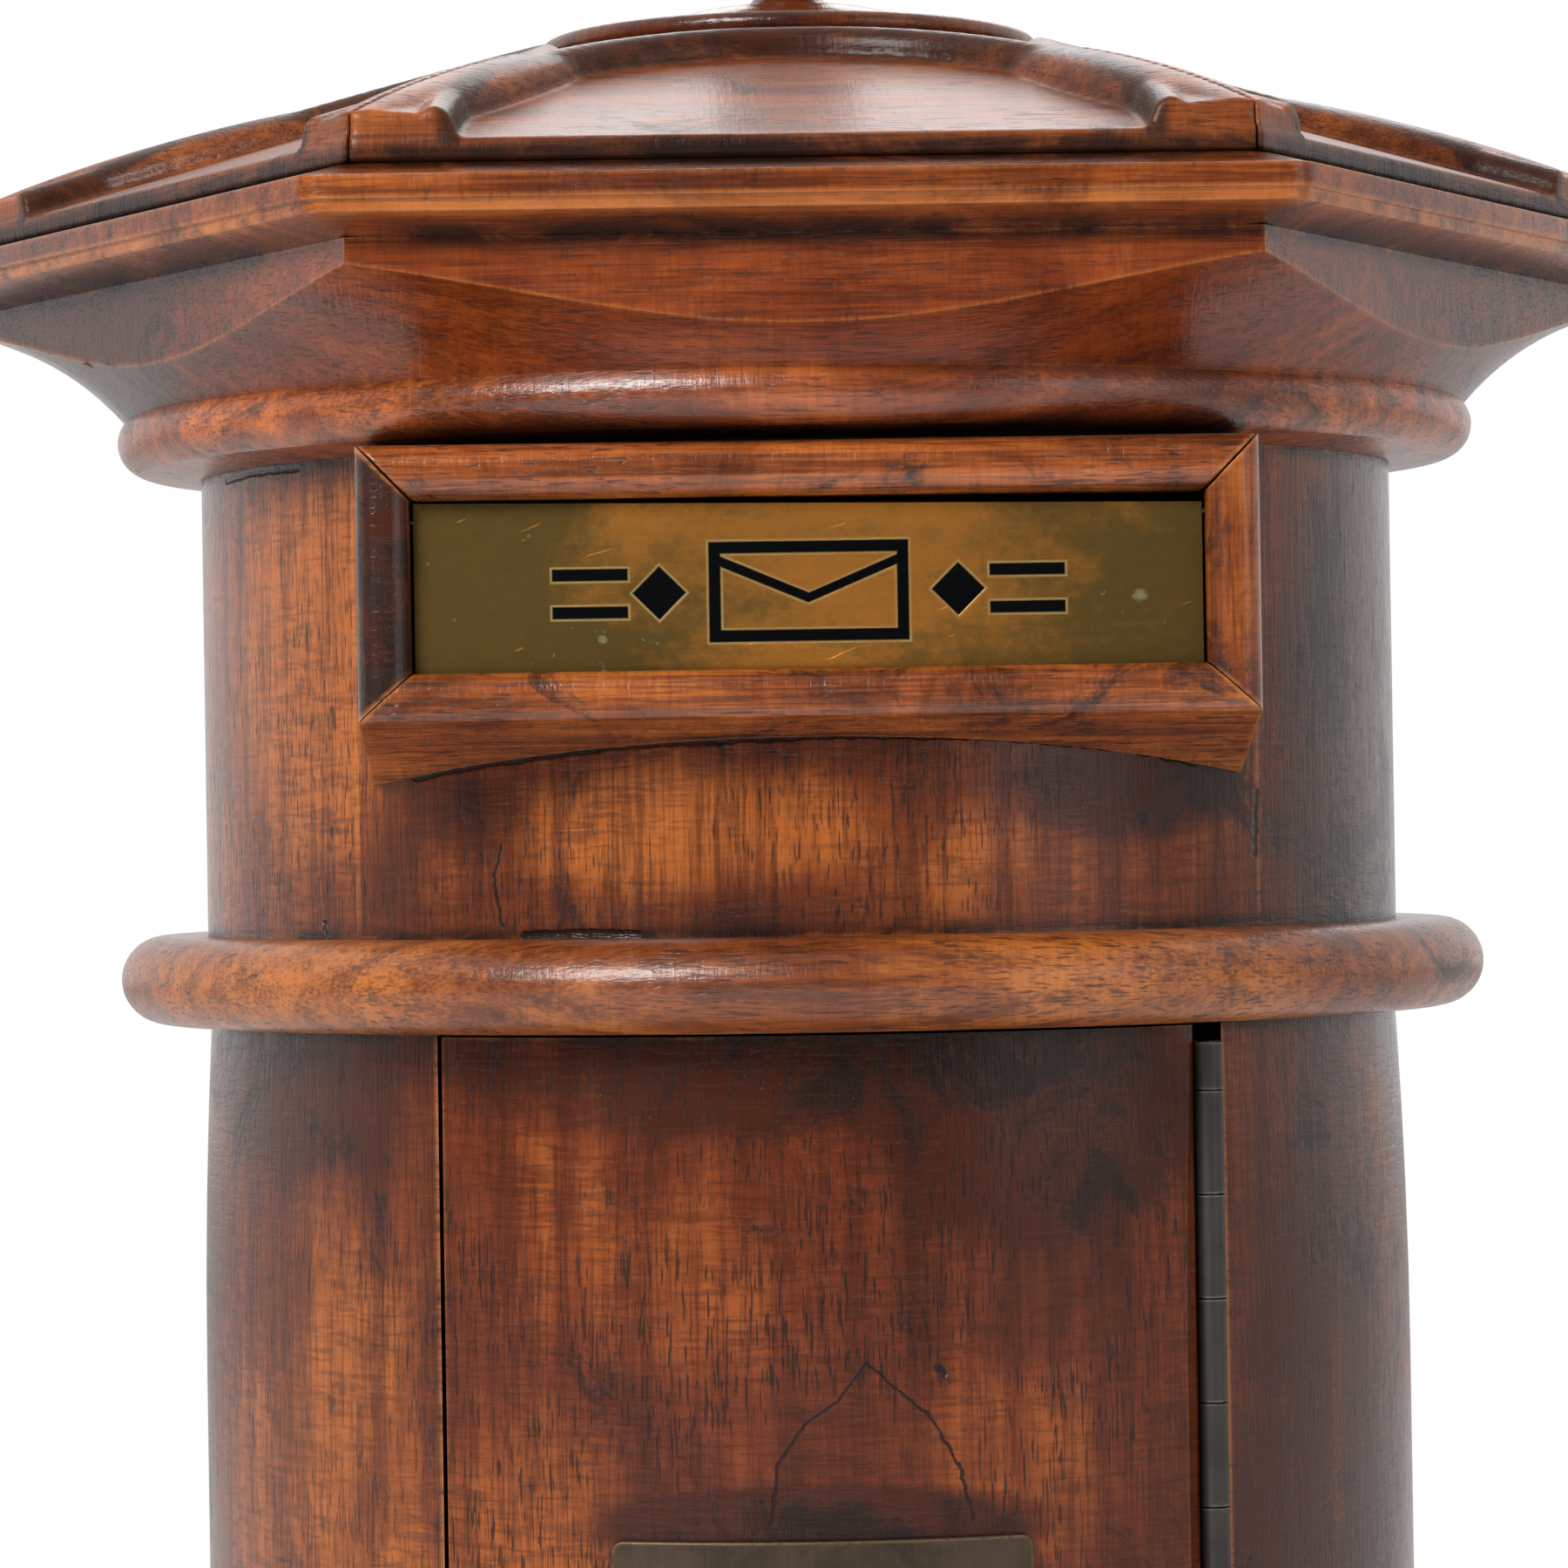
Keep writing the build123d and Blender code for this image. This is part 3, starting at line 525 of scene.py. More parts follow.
        # the stained wood, its fibres and the ripple of its figure
        broad = paint.noise(paint.point(across * 10.0 + 3.7, inward * 10.0, along * 8.0), 3.0, 0.5, 0.4)
        cloud = paint.noise(paint.point(across * 34.0, inward * 34.0, along * 24.0), 5.0, 0.68, 0.9)
        streak = paint.noise(paint.point(across * 210.0, inward * 210.0, along * 8.0), 4.0, 0.62)
        fibre = paint.noise(paint.point(across * 1700.0, inward * 1700.0, along * 70.0), 2.0)
        fleck = paint.noise(paint.point(across * 130.0, inward * 70.0, along * 950.0), 3.0, 0.55, 0.6)
        tone = broad * 0.55 + cloud * 0.55 + streak * 0.30 + fleck * 0.10
        # patches of painted light and shade lighten or darken the tone
        tone = tone + (self.stain(paint) * 0.22 - 0.25)
        middle = 0.62 - 0.16 * self.glow_share
        colour = paint.mix(tone.step(middle - 0.22, middle), self.deep, self.ground)
        colour = paint.mix(tone.step(middle - 0.06, middle + 0.24), colour, self.glow)
        colour = paint.mix((streak * 0.5 + fibre * 0.6).step(0.62, 0.42) * 0.6, colour, self.deep)
        ripple = fleck.step(0.56, 0.36) * cloud.step(0.36, 0.60)
        colour = paint.mix(ripple * 0.45 * self.figure, colour, self.deep)

        # clouds of dark patina
        spot = paint.point(across * 30.0 + 7.3, inward * 20.0, along * 26.0 + 2.1)
        patch = paint.noise(spot, 6.0, 0.72, 1.4)
        smoky = 0.63 - 0.16 * self.patina
        smoke = (patch - (tone - middle) * 0.25).step(smoky, smoky + 0.13)
        colour = paint.mix(smoke * 0.85, colour, self.soot_and_shade)

        # pores, as short dashes along the grain
        spot = paint.point(across * 2100.0, inward * 500.0, along * 190.0 + 3.0)
        dash = paint.noise(spot, 1.0, 0.4, 0.25)
        where = paint.noise(paint.point(across * 24.0 + 4.0, inward * 24.0, along * 30.0), 2.0)
        pore = dash.step(0.59, 0.66) * where.step(0.34, 0.54) * self.pores
        colour = paint.mix(pore, colour, self.soot_and_shade)

        # dirt, and painted shade, in recesses, along the arch rib's flank and under mouldings
        dirt_and_shade = paint.hollow(8 * MM).step(self.dirt_and_shade_from, self.dirt_and_shade_from + 0.6)
        for level in self.dirt_and_shade_levels:
            near = abs(z - level * MM).step(3.5 * MM, 0.4 * MM)
            dirt_and_shade = dirt_and_shade.most(near * patch.step(0.34, 0.56))
        flank = self.arch_flank(paint)
        if flank is not None:
            dirt_and_shade = dirt_and_shade.most(flank * patch.step(0.20, 0.50) * 0.9)
        colour = paint.mix(dirt_and_shade * 0.88, colour, self.soot_and_shade)

        # glued joints, and edges worn down to pale wood
        gap = self.joint(paint)
        if gap is not None:
            colour = paint.mix(gap.step(0.4 * MM, 0.1 * MM) * 0.2, colour, self.soot_and_shade)
        if self.wear:
            worn = paint.worn(1.6 * MM) * (cloud * 0.6 + fleck * 0.7).step(0.42, 0.72)
            worn = worn * self.wear * (1.0 - dirt_and_shade)
            if gap is not None:
                worn = worn * gap.step(1.0 * MM, 4.0 * MM)
            colour = paint.mix(worn, colour, self.arris)
        for level in self.rubbed_levels:
            near = abs(z - level * MM).step(2.4 * MM, 0.6 * MM)
            near = near * (cloud * 0.7 + streak * 0.6).step(0.48, 0.78)
            colour = paint.mix(near * 0.6, colour, self.arris)

        # relief, cracks and the wax
        height = streak * 0.35 + fibre * 0.35 + fleck * 0.35 - pore * 0.3 + cloud * 0.8 - smoke * 0.2
        mask = self.crack_mask(paint)
        if mask is not None:
            colour = paint.mix(mask * 0.95, colour, self.soot_and_shade)
            height = height - mask * 1.4
        rough = self.gloss + streak * 0.08 + smoke * 0.06 + pore * 0.1 + (cloud - 0.5) * 0.2
        paint.look({"Base Color": colour, "Roughness": rough, "Specular IOR Level": self.shine,
                    "Coat Weight": 0.08, "Coat Roughness": 0.16,
                    "Normal": paint.bump(height, 0.35 * MM, 0.75)})
        return paint.material


@dataclass(frozen=True)
class BrassFinish:
    """Aged olive brass, with or without the engraved device of the letter flap.

    Attributes:
        bright: rubbed brass.
        dull: brass that has lost its polish.
        verdigris: green corrosion.
        tarnish: dark mottling.
        fill: the black filling of the engraving.
        rim: the engraving's bright edge.
        engraved_at: x and z in metres of the device's middle, or None for plain brass.
        green_spots: x, z and reach in millimetres of single spots of corrosion.
        dent: x, z and half length in millimetres of a level dent.
    """

    name: str
    bright: Colour = (0.60, 0.230, 0.040)
    dull: Colour = (0.110, 0.064, 0.014)
    verdigris: Colour = (0.24, 0.25, 0.14)
    tarnish: Colour = (0.060, 0.042, 0.010)
    fill: Colour = (0.004, 0.0045, 0.005)
    rim: Colour = (0.50, 0.36, 0.14)
    engraved_at: Point2 | None = None
    green_spots: tuple[tuple[float, float, float], ...] = ()
    dent: tuple[float, float, float] | None = None

    def device(self, paint: Paint) -> Value:
        """Draws the engraved device: an envelope between two lozenges and four short rules.

        Args:
            paint: the material.

        Returns:
            Signed distance in metres to the strokes, under 0 inside them.
        """
        x, _, z = paint.place()
        x, z = x - self.engraved_at[0], z - self.engraved_at[1]
        ax, az = abs(x), abs(z)
        stroke, half_width, half_height = 1.05 * MM, 17.0 * MM, 8.0 * MM
        outline = abs((ax - half_width).most(az - half_height)) - stroke
        fold = abs(z - ax * 0.42 + 1.2 * MM) * 0.92 - stroke * 0.8
        fold = fold.most(ax - half_width).most(az - half_height)
        lozenge = (abs(ax - 27.0 * MM) + az) * 0.707 - 3.4 * MM
        rules = (abs(ax - 39.5 * MM) - 6.8 * MM).most(abs(az - 3.4 * MM) - stroke)
        return outline.least(fold).least(lozenge).least(rules)

    def make(self) -> bpy.types.Material:
        """Builds the material.

        Returns:
            The material.
        """
        paint = Paint(self.name)
        x, y, z = paint.place()
        cloud = paint.noise(paint.point(x * 22.0, y * 22.0, z * 34.0), 5.0, 0.60, 0.8)
        speck = paint.noise(paint.point(x * 420.0, y * 420.0, z * 420.0), 3.0, 0.6)
        rub = paint.noise(paint.point(x * 60.0, y * 300.0, z * 1100.0), 2.0)
        scratch = paint.noise(paint.point(x * 90.0 + z * 60.0, y * 40.0, z * 900.0 - x * 300.0), 1.0)
        scored = scratch.step(0.73, 0.77)
        tone = (cloud * 0.9 + speck * 0.2 + rub * 0.12 + abs(x - 6.0 * MM) * 5.2).step(0.46, 0.92)
        colour = paint.mix(tone, self.bright, self.dull)
        mottle = paint.noise(paint.point(x * 130.0, y * 130.0, z * 170.0), 5.0, 0.7, 0.8)
        tarnish = (mottle * 0.8 + speck * 0.3 + tone * 0.12).step(0.56, 0.72)
        colour = paint.mix(tarnish * 0.4, colour, self.tarnish)
        spots = (speck * 0.8 + cloud * 0.35).step(0.735, 0.80)
        for spot_x, spot_z, reach in self.green_spots:
            away = ((x - spot_x * MM) ** 2.0 + (z - spot_z * MM) ** 2.0).root()
            away = away + (speck - 0.5) * (2.4 * MM)
            spots = spots.most(away.step(reach * MM, reach * 0.3 * MM))
        colour = paint.mix(spots * 0.55, colour, self.verdigris)
        colour = paint.mix(scored * 0.35, colour, self.bright)
        # hollows dulled and darkened: dirt and painted shade
        dirt_and_shade = paint.hollow(5 * MM).step(0.45, 0.98)
        colour = paint.mix(dirt_and_shade * 0.7, colour, self.dull)
        metal = 0.95 - tone * 0.08 - spots * 0.4
        rough = 0.30 + tone * 0.12 + tarnish * 0.10 + spots * 0.3 + rub * 0.08
        height = speck * 0.25 + rub * 0.2 - scored * 0.4
        if self.engraved_at is not None:
            distance = self.device(paint)
            cut = distance.step(0.12 * MM, -0.12 * MM)
            rim = abs(distance - 0.25 * MM).step(0.35 * MM, 0.05 * MM)
            colour = paint.mix(rim * 0.55, colour, self.rim)
            colour = paint.mix(cut, colour, self.fill)
            metal = metal.most(cut)
            rough = rough + cut * 0.1
            height = height - cut * 2.4
        if self.dent is not None:
            dent_x, dent_z, half = (value * MM for value in self.dent)
            dent = (abs(x - dent_x) - half).most(abs(z - dent_z)).step(0.55 * MM, 0.1 * MM)
            colour = paint.mix(dent * 0.7, colour, self.dull)
            height = height - dent
        paint.look({"Base Color": colour, "Metallic": metal, "Roughness": rough,
                    "Normal": paint.bump(height, 0.12 * MM, 0.6)})
        return paint.material


@dataclass(frozen=True)
class OldMetalFinish:
    """Dark bronze or steel with darker clouds, whose raised edges are rubbed bright."""

    name: str
    ground: Colour
    rubbed: Colour
    stain: Colour
    roughness: float = 0.42
    dirt_and_shade: Colour = (0.012, 0.010, 0.008)

    def make(self) -> bpy.types.Material:
        """Builds the material.

        Returns:
            The material.
        """
        paint = Paint(self.name)
        x, y, z = paint.place()
        cloud = paint.noise(paint.point(x * 70.0, y * 70.0, z * 70.0), 5.0, 0.65, 0.6)
        grit = paint.noise(paint.point(x * 900.0, y * 900.0, z * 900.0), 2.0)
        brushed = paint.noise(paint.point(x * 1200.0, y * 1200.0, z * 60.0), 2.0)
        colour = paint.mix((cloud * 0.8 + brushed * 0.2).step(0.32, 0.80), self.ground, self.stain)
        worn = paint.worn(0.9 * MM) * (cloud * 0.5 + grit * 0.6).step(0.35, 0.6)
        colour = paint.mix(worn * 0.9, colour, self.rubbed)
        # hollows darkened near black: dirt and painted shade
        colour = paint.mix(paint.hollow(3 * MM).step(0.5, 1.0) * 0.7, colour, self.dirt_and_shade)
        paint.look({"Base Color": colour, "Metallic": 0.85,
                    "Roughness": self.roughness + cloud * 0.15 - worn * 0.12,
                    "Normal": paint.bump(grit * 0.5 + brushed * 0.5, 0.08 * MM, 0.5)})
        return paint.material


# ---------------------------------------------------------------- carried-over and softened pieces
def dress(names: tuple[str, ...], material: bpy.types.Material) -> Pieces:
    """Gives CAD nodes a finish.

    Args:
        names: the nodes.
        material: their material.

    Returns:
        The nodes' objects.
    """
    nodes = [frame["nodes"][name] for name in names]
    for node in nodes:
        node.data.materials.clear()
        node.data.materials.append(material)
    return nodes


def round_corners(work: bmesh.types.BMesh, offset: float) -> None:
    """Rounds the six corners of a hexagonal board, as hands have worn them.

    Args:
        work: the board, its doubles merged.
        offset: how far back from the corner the rounding starts, in metres.
    """
    corners = []
    for edge in work.edges:
        turns = [atan2(vert.co.y, vert.co.x) / SIXTH for vert in edge.verts]
        same = round(turns[0]) % 6 == round(turns[1]) % 6
        if same and all(abs(turn - round(turn)) < 0.004 for turn in turns):
            corners.append(edge)
    bmesh.ops.bevel(work, geom=corners, offset=offset, offset_type="OFFSET", segments=4, profile=0.5,
                    affect="EDGES", clamp_overlap=True, material=-1)


def keep_side(work: bmesh.types.BMesh, point: Vector, outward: Vector) -> None:
    """Saws a closed shape off at a plane and closes the cut.

    Args:
        work: the shape.
        point: a point of the plane.
        outward: direction of the side that falls off.
    """
    everything = [*work.verts, *work.edges, *work.faces]
    cut = bmesh.ops.bisect_plane(work, geom=everything, plane_co=point, plane_no=outward, clear_outer=True)
    rim = [item for item in cut["geom_cut"] if isinstance(item, bmesh.types.BMEdge)]
    if rim:
        bmesh.ops.contextual_create(work, geom=rim)


@dataclass(frozen=True)
class HipRidge:
    """Long carved swelling on a hip, where the feet and ribs of two arches run together.

    Attributes:
        eave_height: the roof's height at its eave.
        middle: how far up the hip the swelling's middle lies.
        half_length: half its length.
        half_width: half its width.
        height: how far it rises from the hip.
        setback: how far it stays behind the eave's face.
        depth: how far it goes down into the roof.
    """

    eave_height: float = 4.2 * MM
    middle: float = 38.0 * MM
    half_length: float = 50.0 * MM
    half_width: float = 10.0 * MM
    height: float = 6.4 * MM
    setback: float = 0.8 * MM
    depth: float = 3.0 * MM

    def carve(self, side: float, turn: float) -> bpy.types.Mesh:
        """Makes the half of the swelling that belongs to one roof segment.

        Args:
            side: 1 for the segment's right hip, -1 for its left.
            turn: the segment's turn about the drum's axis.

        Returns:
            The closed half swelling.
        """
        low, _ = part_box("roof_front")
        apothem = -low.y
        corner = Vector((side * apothem * tan(SIXTH / 2), -apothem, low.z + self.eave_height))
        peak = Vector((0.0, 0.0, corner.z + apothem * tan(HIP_PITCH)))
        along = (peak - corner).normalized()
        across = Vector((-along.y, along.x, 0.0)).normalized()
        normal = along.cross(across)
        middle = corner + along * self.middle
        axes = Matrix((across * self.half_width, along * self.half_length, normal * self.height))
        place = Matrix.Translation(middle) @ axes.transposed().to_4x4()
        work = bmesh.new()
        bmesh.ops.create_uvsphere(work, u_segments=32, v_segments=20, radius=1.0, matrix=place)
        keep_side(work, middle, across * -side)
        keep_side(work, Vector((0.0, self.setback - apothem, 0.0)), Vector((0.0, -1.0, 0.0)))
        keep_side(work, middle - normal * self.depth, -normal)
        bmesh.ops.recalc_face_normals(work, faces=work.faces)
        about_axis = Matrix.Rotation(turn, 3, "Z")
        bmesh.ops.rotate(work, cent=(0.0, 0.0, 0.0), matrix=about_axis, verts=work.verts)
        mesh = bpy.data.meshes.new("hip_ridge")
        work.to_mesh(mesh)
        work.free()
        return mesh


def soften(name: str, material: bpy.types.Material, width: float = 0.8 * MM,
           segments: int = 3, corner: float = 0.0, carved: float = 0.0,
           swellings: tuple[bpy.types.Mesh, ...] = ()) -> bpy.types.Object:
    """Stands in for a CAD node with the same shape and hand-softened arrises.

    Args:
        name: the node.
        material: its material.
        width: how wide the arrises are rounded.
        segments: faces across a rounded arris.
        corner: rounding of the six corners of a hexagonal board, in metres.
        carved: grain in metres at which a carved piece is worked over, or 0 for bevelled arrises.
        swellings: closed shapes that a carved piece takes in.

    Returns:
        The piece.
    """
    source = frame["nodes"][name]
    mesh = source.data.copy()
    work = bmesh.new()
    work.from_mesh(mesh)
    bmesh.ops.remove_doubles(work, verts=work.verts, dist=0.005 * MM)
    bmesh.ops.dissolve_limit(work, angle_limit=radians(0.5), verts=work.verts, edges=work.edges)
    if corner:
        round_corners(work, corner)
    for swelling in swellings:
        work.from_mesh(swelling)
    for face in work.faces:
        face.smooth = True
    for edge in work.edges:
        edge.smooth = edge.is_manifold and edge.calc_face_angle(pi) < SHARP
    work.to_mesh(mesh)
    work.free()
    piece = bpy.data.objects.new(f"{name}_wood", mesh)
    bpy.context.scene.collection.objects.link(piece)
    mesh.materials.clear()
    mesh.materials.append(material)
    if carved:
        worked = piece.modifiers.new("carving", "REMESH")
        worked.mode = "VOXEL"
        worked.voxel_size = carved
        worked.use_smooth_shade = True
        rubbed = piece.modifiers.new("rubbed", "SMOOTH")
        rubbed.factor = 0.5
        rubbed.iterations = 4
    else:
        bevel = piece.modifiers.new("arris", "BEVEL")
        bevel.width = width
        bevel.segments = segments
        bevel.limit_method = "ANGLE"
        bevel.angle_limit = SHARP
        bevel.harden_normals = True
        bevel.use_clamp_overlap = True
    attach(piece, source["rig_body"])
    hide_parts(name)
    return piece


# ---------------------------------------------------------------- sub-assemblies
@dataclass
class Base:
    """Plinth, moulding, floor board and the carcass's screws."""

    steel: bpy.types.Material
    dirt_and_shade_levels: tuple[float, ...] = (30.0, 52.0)

    def build(self) -> Pieces:
        """Dresses the base.

        Returns:
            Its pieces.
        """
        turned = WoodFinish("turned_base", Grain.BOARD, glow_share=0.45, patina=0.6,
                            dirt_and_shade_levels=self.dirt_and_shade_levels).make()
        plain = WoodFinish("floor_wood", Grain.BOARD, patina=0.2, wear=0.2, gloss=0.5).make()
        return [*dress(("base_plinth", "base_moulding"), turned), *dress(("floor_board",), plain),
                *dress(("base_screws", "ring_screws"), self.steel)]


@dataclass
class Drum:
    """Staves of the lower and upper drum, the band between them and the stop inside.

    Attributes:
        foot: height in millimetres of the drum's foot.
        band_edges: heights of the band's edges.
        top: height of the drum's top.
        cracks: drying cracks of the upper drum.
        low_light_patches: patches of painted light and shade on the lower drum.
        high_light_patches: patches of painted light and shade on the upper drum.
    """

    foot: float = 52.0
    band_edges: Point2 = (296.4, 313.7)
    top: float = 404.4
    cracks: tuple[Crack, ...] = (
        Crack(((-57.0, 331.0), (-58.5, 325.0), (-57.0, 316.0)), 0.5),
        Crack(((84.4, 339.0), (84.0, 327.0)), 0.8),
        Crack(((-53.0, 314.5), (-40.0, 314.9), (-32.0, 314.5)), 0.9),
        Crack(((-111.0, 402.8), (-104.0, 403.4), (-96.0, 403.1)), 0.9),
        Crack(((-91.5, 317.0), (-91.0, 314.4)), 0.5),
        Crack(((-73.0, 343.8), (-60.0, 346.0), (-35.0, 348.8), (0.0, 350.0)), 0.9),
        Crack(((0.0, 350.0), (35.0, 349.2), (60.0, 346.6), (72.0, 344.2)), 0.5),
    )
    # painted light and shade: the drum is painted lighter on the left and darker on the right
    low_light_patches: tuple[LightPatch, ...] = (
        LightPatch(-95.0, 190.0, 30.0, 95.0, 1.0),
        LightPatch(95.0, 200.0, 26.0, 110.0, -1.0),
        LightPatch(-95.0, 285.0, 26.0, 22.0, -0.8),
    )
    high_light_patches: tuple[LightPatch, ...] = (
        LightPatch(-92.0, 365.0, 24.0, 45.0, 1.2),
        LightPatch(-22.0, 333.0, 46.0, 15.0, 1.2),
        LightPatch(30.0, 325.0, 20.0, 14.0, 0.6),
        LightPatch(58.0, 340.0, 26.0, 12.0, -1.0),
        LightPatch(108.0, 360.0, 24.0, 60.0, -1.2),
        LightPatch(-62.0, 336.0, 14.0, 10.0, -0.6),
    )

    def build(self) -> Pieces:
        """Dresses the drum.

        Returns:
            Its pieces.
        """
        lower = WoodFinish("drum_stave_low", Grain.STAVE, glow_share=0.5, patina=0.45, pores=0.6,
                           shine=0.34, dirt_and_shade_levels=(self.foot, self.band_edges[0]),
                           light_patches=self.low_light_patches).make()
        upper = WoodFinish("drum_stave_high", Grain.STAVE, glow_share=0.55, patina=0.5, pores=0.75,
                           shine=0.34, dirt_and_shade_levels=(self.band_edges[1], self.top),
                           cracks=self.cracks, light_patches=self.high_light_patches).make()
        # the band's bright ground and glow, over most of it, are a painted highlight
        turned = WoodFinish("turned_band", Grain.BOARD, ground=(0.20, 0.047, 0.010),
                            glow=(0.46, 0.14, 0.024), gloss=0.25, shine=0.5, glow_share=0.85,
                            patina=0.5, pores=0.6, wear=0.0, figure=0.3).make()
        plain = WoodFinish("stop_wood", Grain.STAVE, patina=0.2, gloss=0.5).make()
        low = tuple(f"lower_wall_{side}" for side in ("left", "back", "right"))
        high = tuple(f"upper_wall_{side}" for side in ("front", "right", "back", "left"))
        return [*dress(low, lower), *dress(high, upper), *dress(("mid_band",), turned),
                *dress(("door_stop",), plain)]


@dataclass
class Crown:
    """Ring board, cornice, slab, carved roof, disc and finial.

    Attributes:
        boards: the cornice's boards.
        segments: the roof's segments.
        arch: half width and height in millimetres of their arch ribs.
        carving: grain of the carving.
        board_arris: rounding of the cornice's arrises.
        slab_arris: rounding of the slab's arrises.
        slab_corner: rounding of the slab's corners.
        slab_bead: height in millimetres of the slab's bead over its underside.
        eave_dirt_and_shade: how far in millimetres above the slab the roof's band of dirt and painted
            shade lies.
        shaded: soft patches of painted shade at the cornice's ends.
    """

    boards: tuple[str, ...] = ("front", "middle", "back")
    segments: tuple[str, ...] = ("front", "front_right", "back_right", "back", "back_left", "front_left")
    arch: Point2 = (62.0, 78.6)
    carving: float = 0.8 * MM
    board_arris: float = 0.5 * MM
    slab_arris: float = 0.9 * MM
    slab_corner: float = 3.0 * MM
    slab_bead: float = 4.5
    eave_dirt_and_shade: float = 1.5
    # painted shade at the cornice's left and right ends
    shaded: tuple[LightPatch, ...] = (
        LightPatch(-150.0, 430.0, 60.0, 60.0, -1.0),
        LightPatch(150.0, 430.0, 60.0, 60.0, -0.8),
    )

    def cornice(self) -> Pieces:
        """Softens the cornice's boards and the slab on them.

        Returns:
            Its pieces.
        """
        seams = (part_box("cornice_front")[1].y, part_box("cornice_back")[0].y)
        under, over = (corner.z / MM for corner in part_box("cornice_slab"))
        # the boards and the slab are darkened at the slab's underside and top: painted shade under the
        # slab, and dirt in its joints
        board = WoodFinish("cornice_board", Grain.BOARD, ground=(0.17, 0.030, 0.0065),
                           glow=(0.36, 0.078, 0.012), glow_share=0.75, patina=0.3, pores=0.4,
                           figure=0.3, shine=0.34, glue_lines=seams, dirt_and_shade_levels=(under, over),
                           light_patches=self.shaded).make()
        pieces = [soften(f"cornice_{name}", board, self.board_arris, 2)
                  for name in self.boards]
        slab = WoodFinish("slab_board", Grain.BOARD, ground=(0.17, 0.034, 0.0065),
                          glow=(0.40, 0.10, 0.015), glow_share=0.6, patina=0.4, pores=0.4,
                          figure=0.3, shine=0.34, dirt_and_shade_levels=(under, over),
                          rubbed_levels=(under + self.slab_bead,)).make()
        return [*pieces, soften("cornice_slab", slab, self.slab_arris,
                                corner=self.slab_corner)]

    def roof(self) -> Pieces:
        """Works over the carved roof segments.

        Returns:
            The segments.
        """
        pieces = []
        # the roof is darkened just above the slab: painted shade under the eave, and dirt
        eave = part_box("cornice_slab")[1].z / MM + self.eave_dirt_and_shade
        for k, side in enumerate(self.segments):
            turn = k * SIXTH
            wood = WoodFinish(f"roof_wood_{side}", Grain.RAIL, turn=turn, ground=(0.20, 0.047, 0.011),
                              glow_share=0.5, patina=0.5, pores=0.5, figure=0.3, gloss=0.32,
                              shine=0.18, mitred=True, arch=self.arch, dirt_and_shade_from=0.06,
                              dirt_and_shade_levels=(eave,)).make()
            ridges = tuple(HipRidge().carve(hip, turn) for hip in (-1.0, 1.0))
            pieces.append(soften(f"roof_{side}", wood, carved=self.carving,
                                 swellings=ridges))
        return pieces

    def build(self) -> Pieces:
        """Dresses the crown.

        Returns:
            Its pieces.
        """
        # the ring's bright glow over all of it is a painted highlight
        ring = WoodFinish("turned_ring", Grain.BOARD, ground=(0.17, 0.034, 0.007),
                          glow=(0.52, 0.125, 0.018), gloss=0.24, shine=0.6, glow_share=1.0,
                          patina=0.5, pores=0.5, wear=0.0, figure=0.3).make()
        top = WoodFinish("turned_top", Grain.BOARD, glow_share=0.35, patina=0.4).make()
        return [*self.cornice(), *dress(("ring_board",), ring), *self.roof(),
                *dress(("roof_disc", "finial"), top)]


@dataclass
class Slot:
    """Mitred frame, letter flap and its pins.

    Attributes:
        steel: the pins' material.
        arris: rounding of the frame's arrises.
        engraving_drop: how far the engraving's middle lies under the flap's.
        dent: x, z and half length in millimetres of the flap's dent.
        green_spots: x, z and reach in millimetres of its spots of corrosion.
        light_patches: soft patches of painted light and shade on the stiles.
    """

    steel: bpy.types.Material
    arris: float = 0.7 * MM
    engraving_drop: float = 1.0 * MM
    dent: tuple[float, float, float] = (59.3, 369.6, 4.7)
    green_spots: tuple[tuple[float, float, float], ...] = ((-37.5, 368.2, 1.0), (60.0, 374.5, 1.6))
    # painted shade on the left stile, painted light on the right one
    light_patches: tuple[LightPatch, ...] = (
        LightPatch(-77.0, 378.0, 12.0, 30.0, -1.2),
        LightPatch(77.0, 378.0, 12.0, 30.0, 0.9),
    )

    def build(self) -> Pieces:
        """Dresses the frame and the flap.

        Returns:
            Their pieces.
        """
        # the rails take a much brighter copy of the mahogany than the stiles: painted light
        rail = WoodFinish("frame_rail", Grain.RAIL, ground=(0.33, 0.078, 0.014),
                          glow=(0.70, 0.225, 0.036), glow_share=0.9, patina=0.6, pores=0.7,
                          wear=0.9, figure=0.3, shine=0.6).make()
        stile = WoodFinish("frame_stile", Grain.STILE, light_patches=self.light_patches, glow_share=0.6,
                           patina=0.75, wear=0.9, figure=0.3).make()
        pieces = [soften(f"frame_{side}", wood, self.arris)
                  for side, wood in (("top", rail), ("bottom", rail), ("left", stile), ("right", stile))]
        low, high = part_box("letter_flap")
        middle = ((low.x + high.x) / 2, (low.z + high.z) / 2 - self.engraving_drop)
        brass = BrassFinish("flap_brass", engraved_at=middle, dent=self.dent,
                            green_spots=self.green_spots).make()
        return [*pieces, *dress(("letter_flap",), brass), *dress(("flap_pins",), self.steel)]


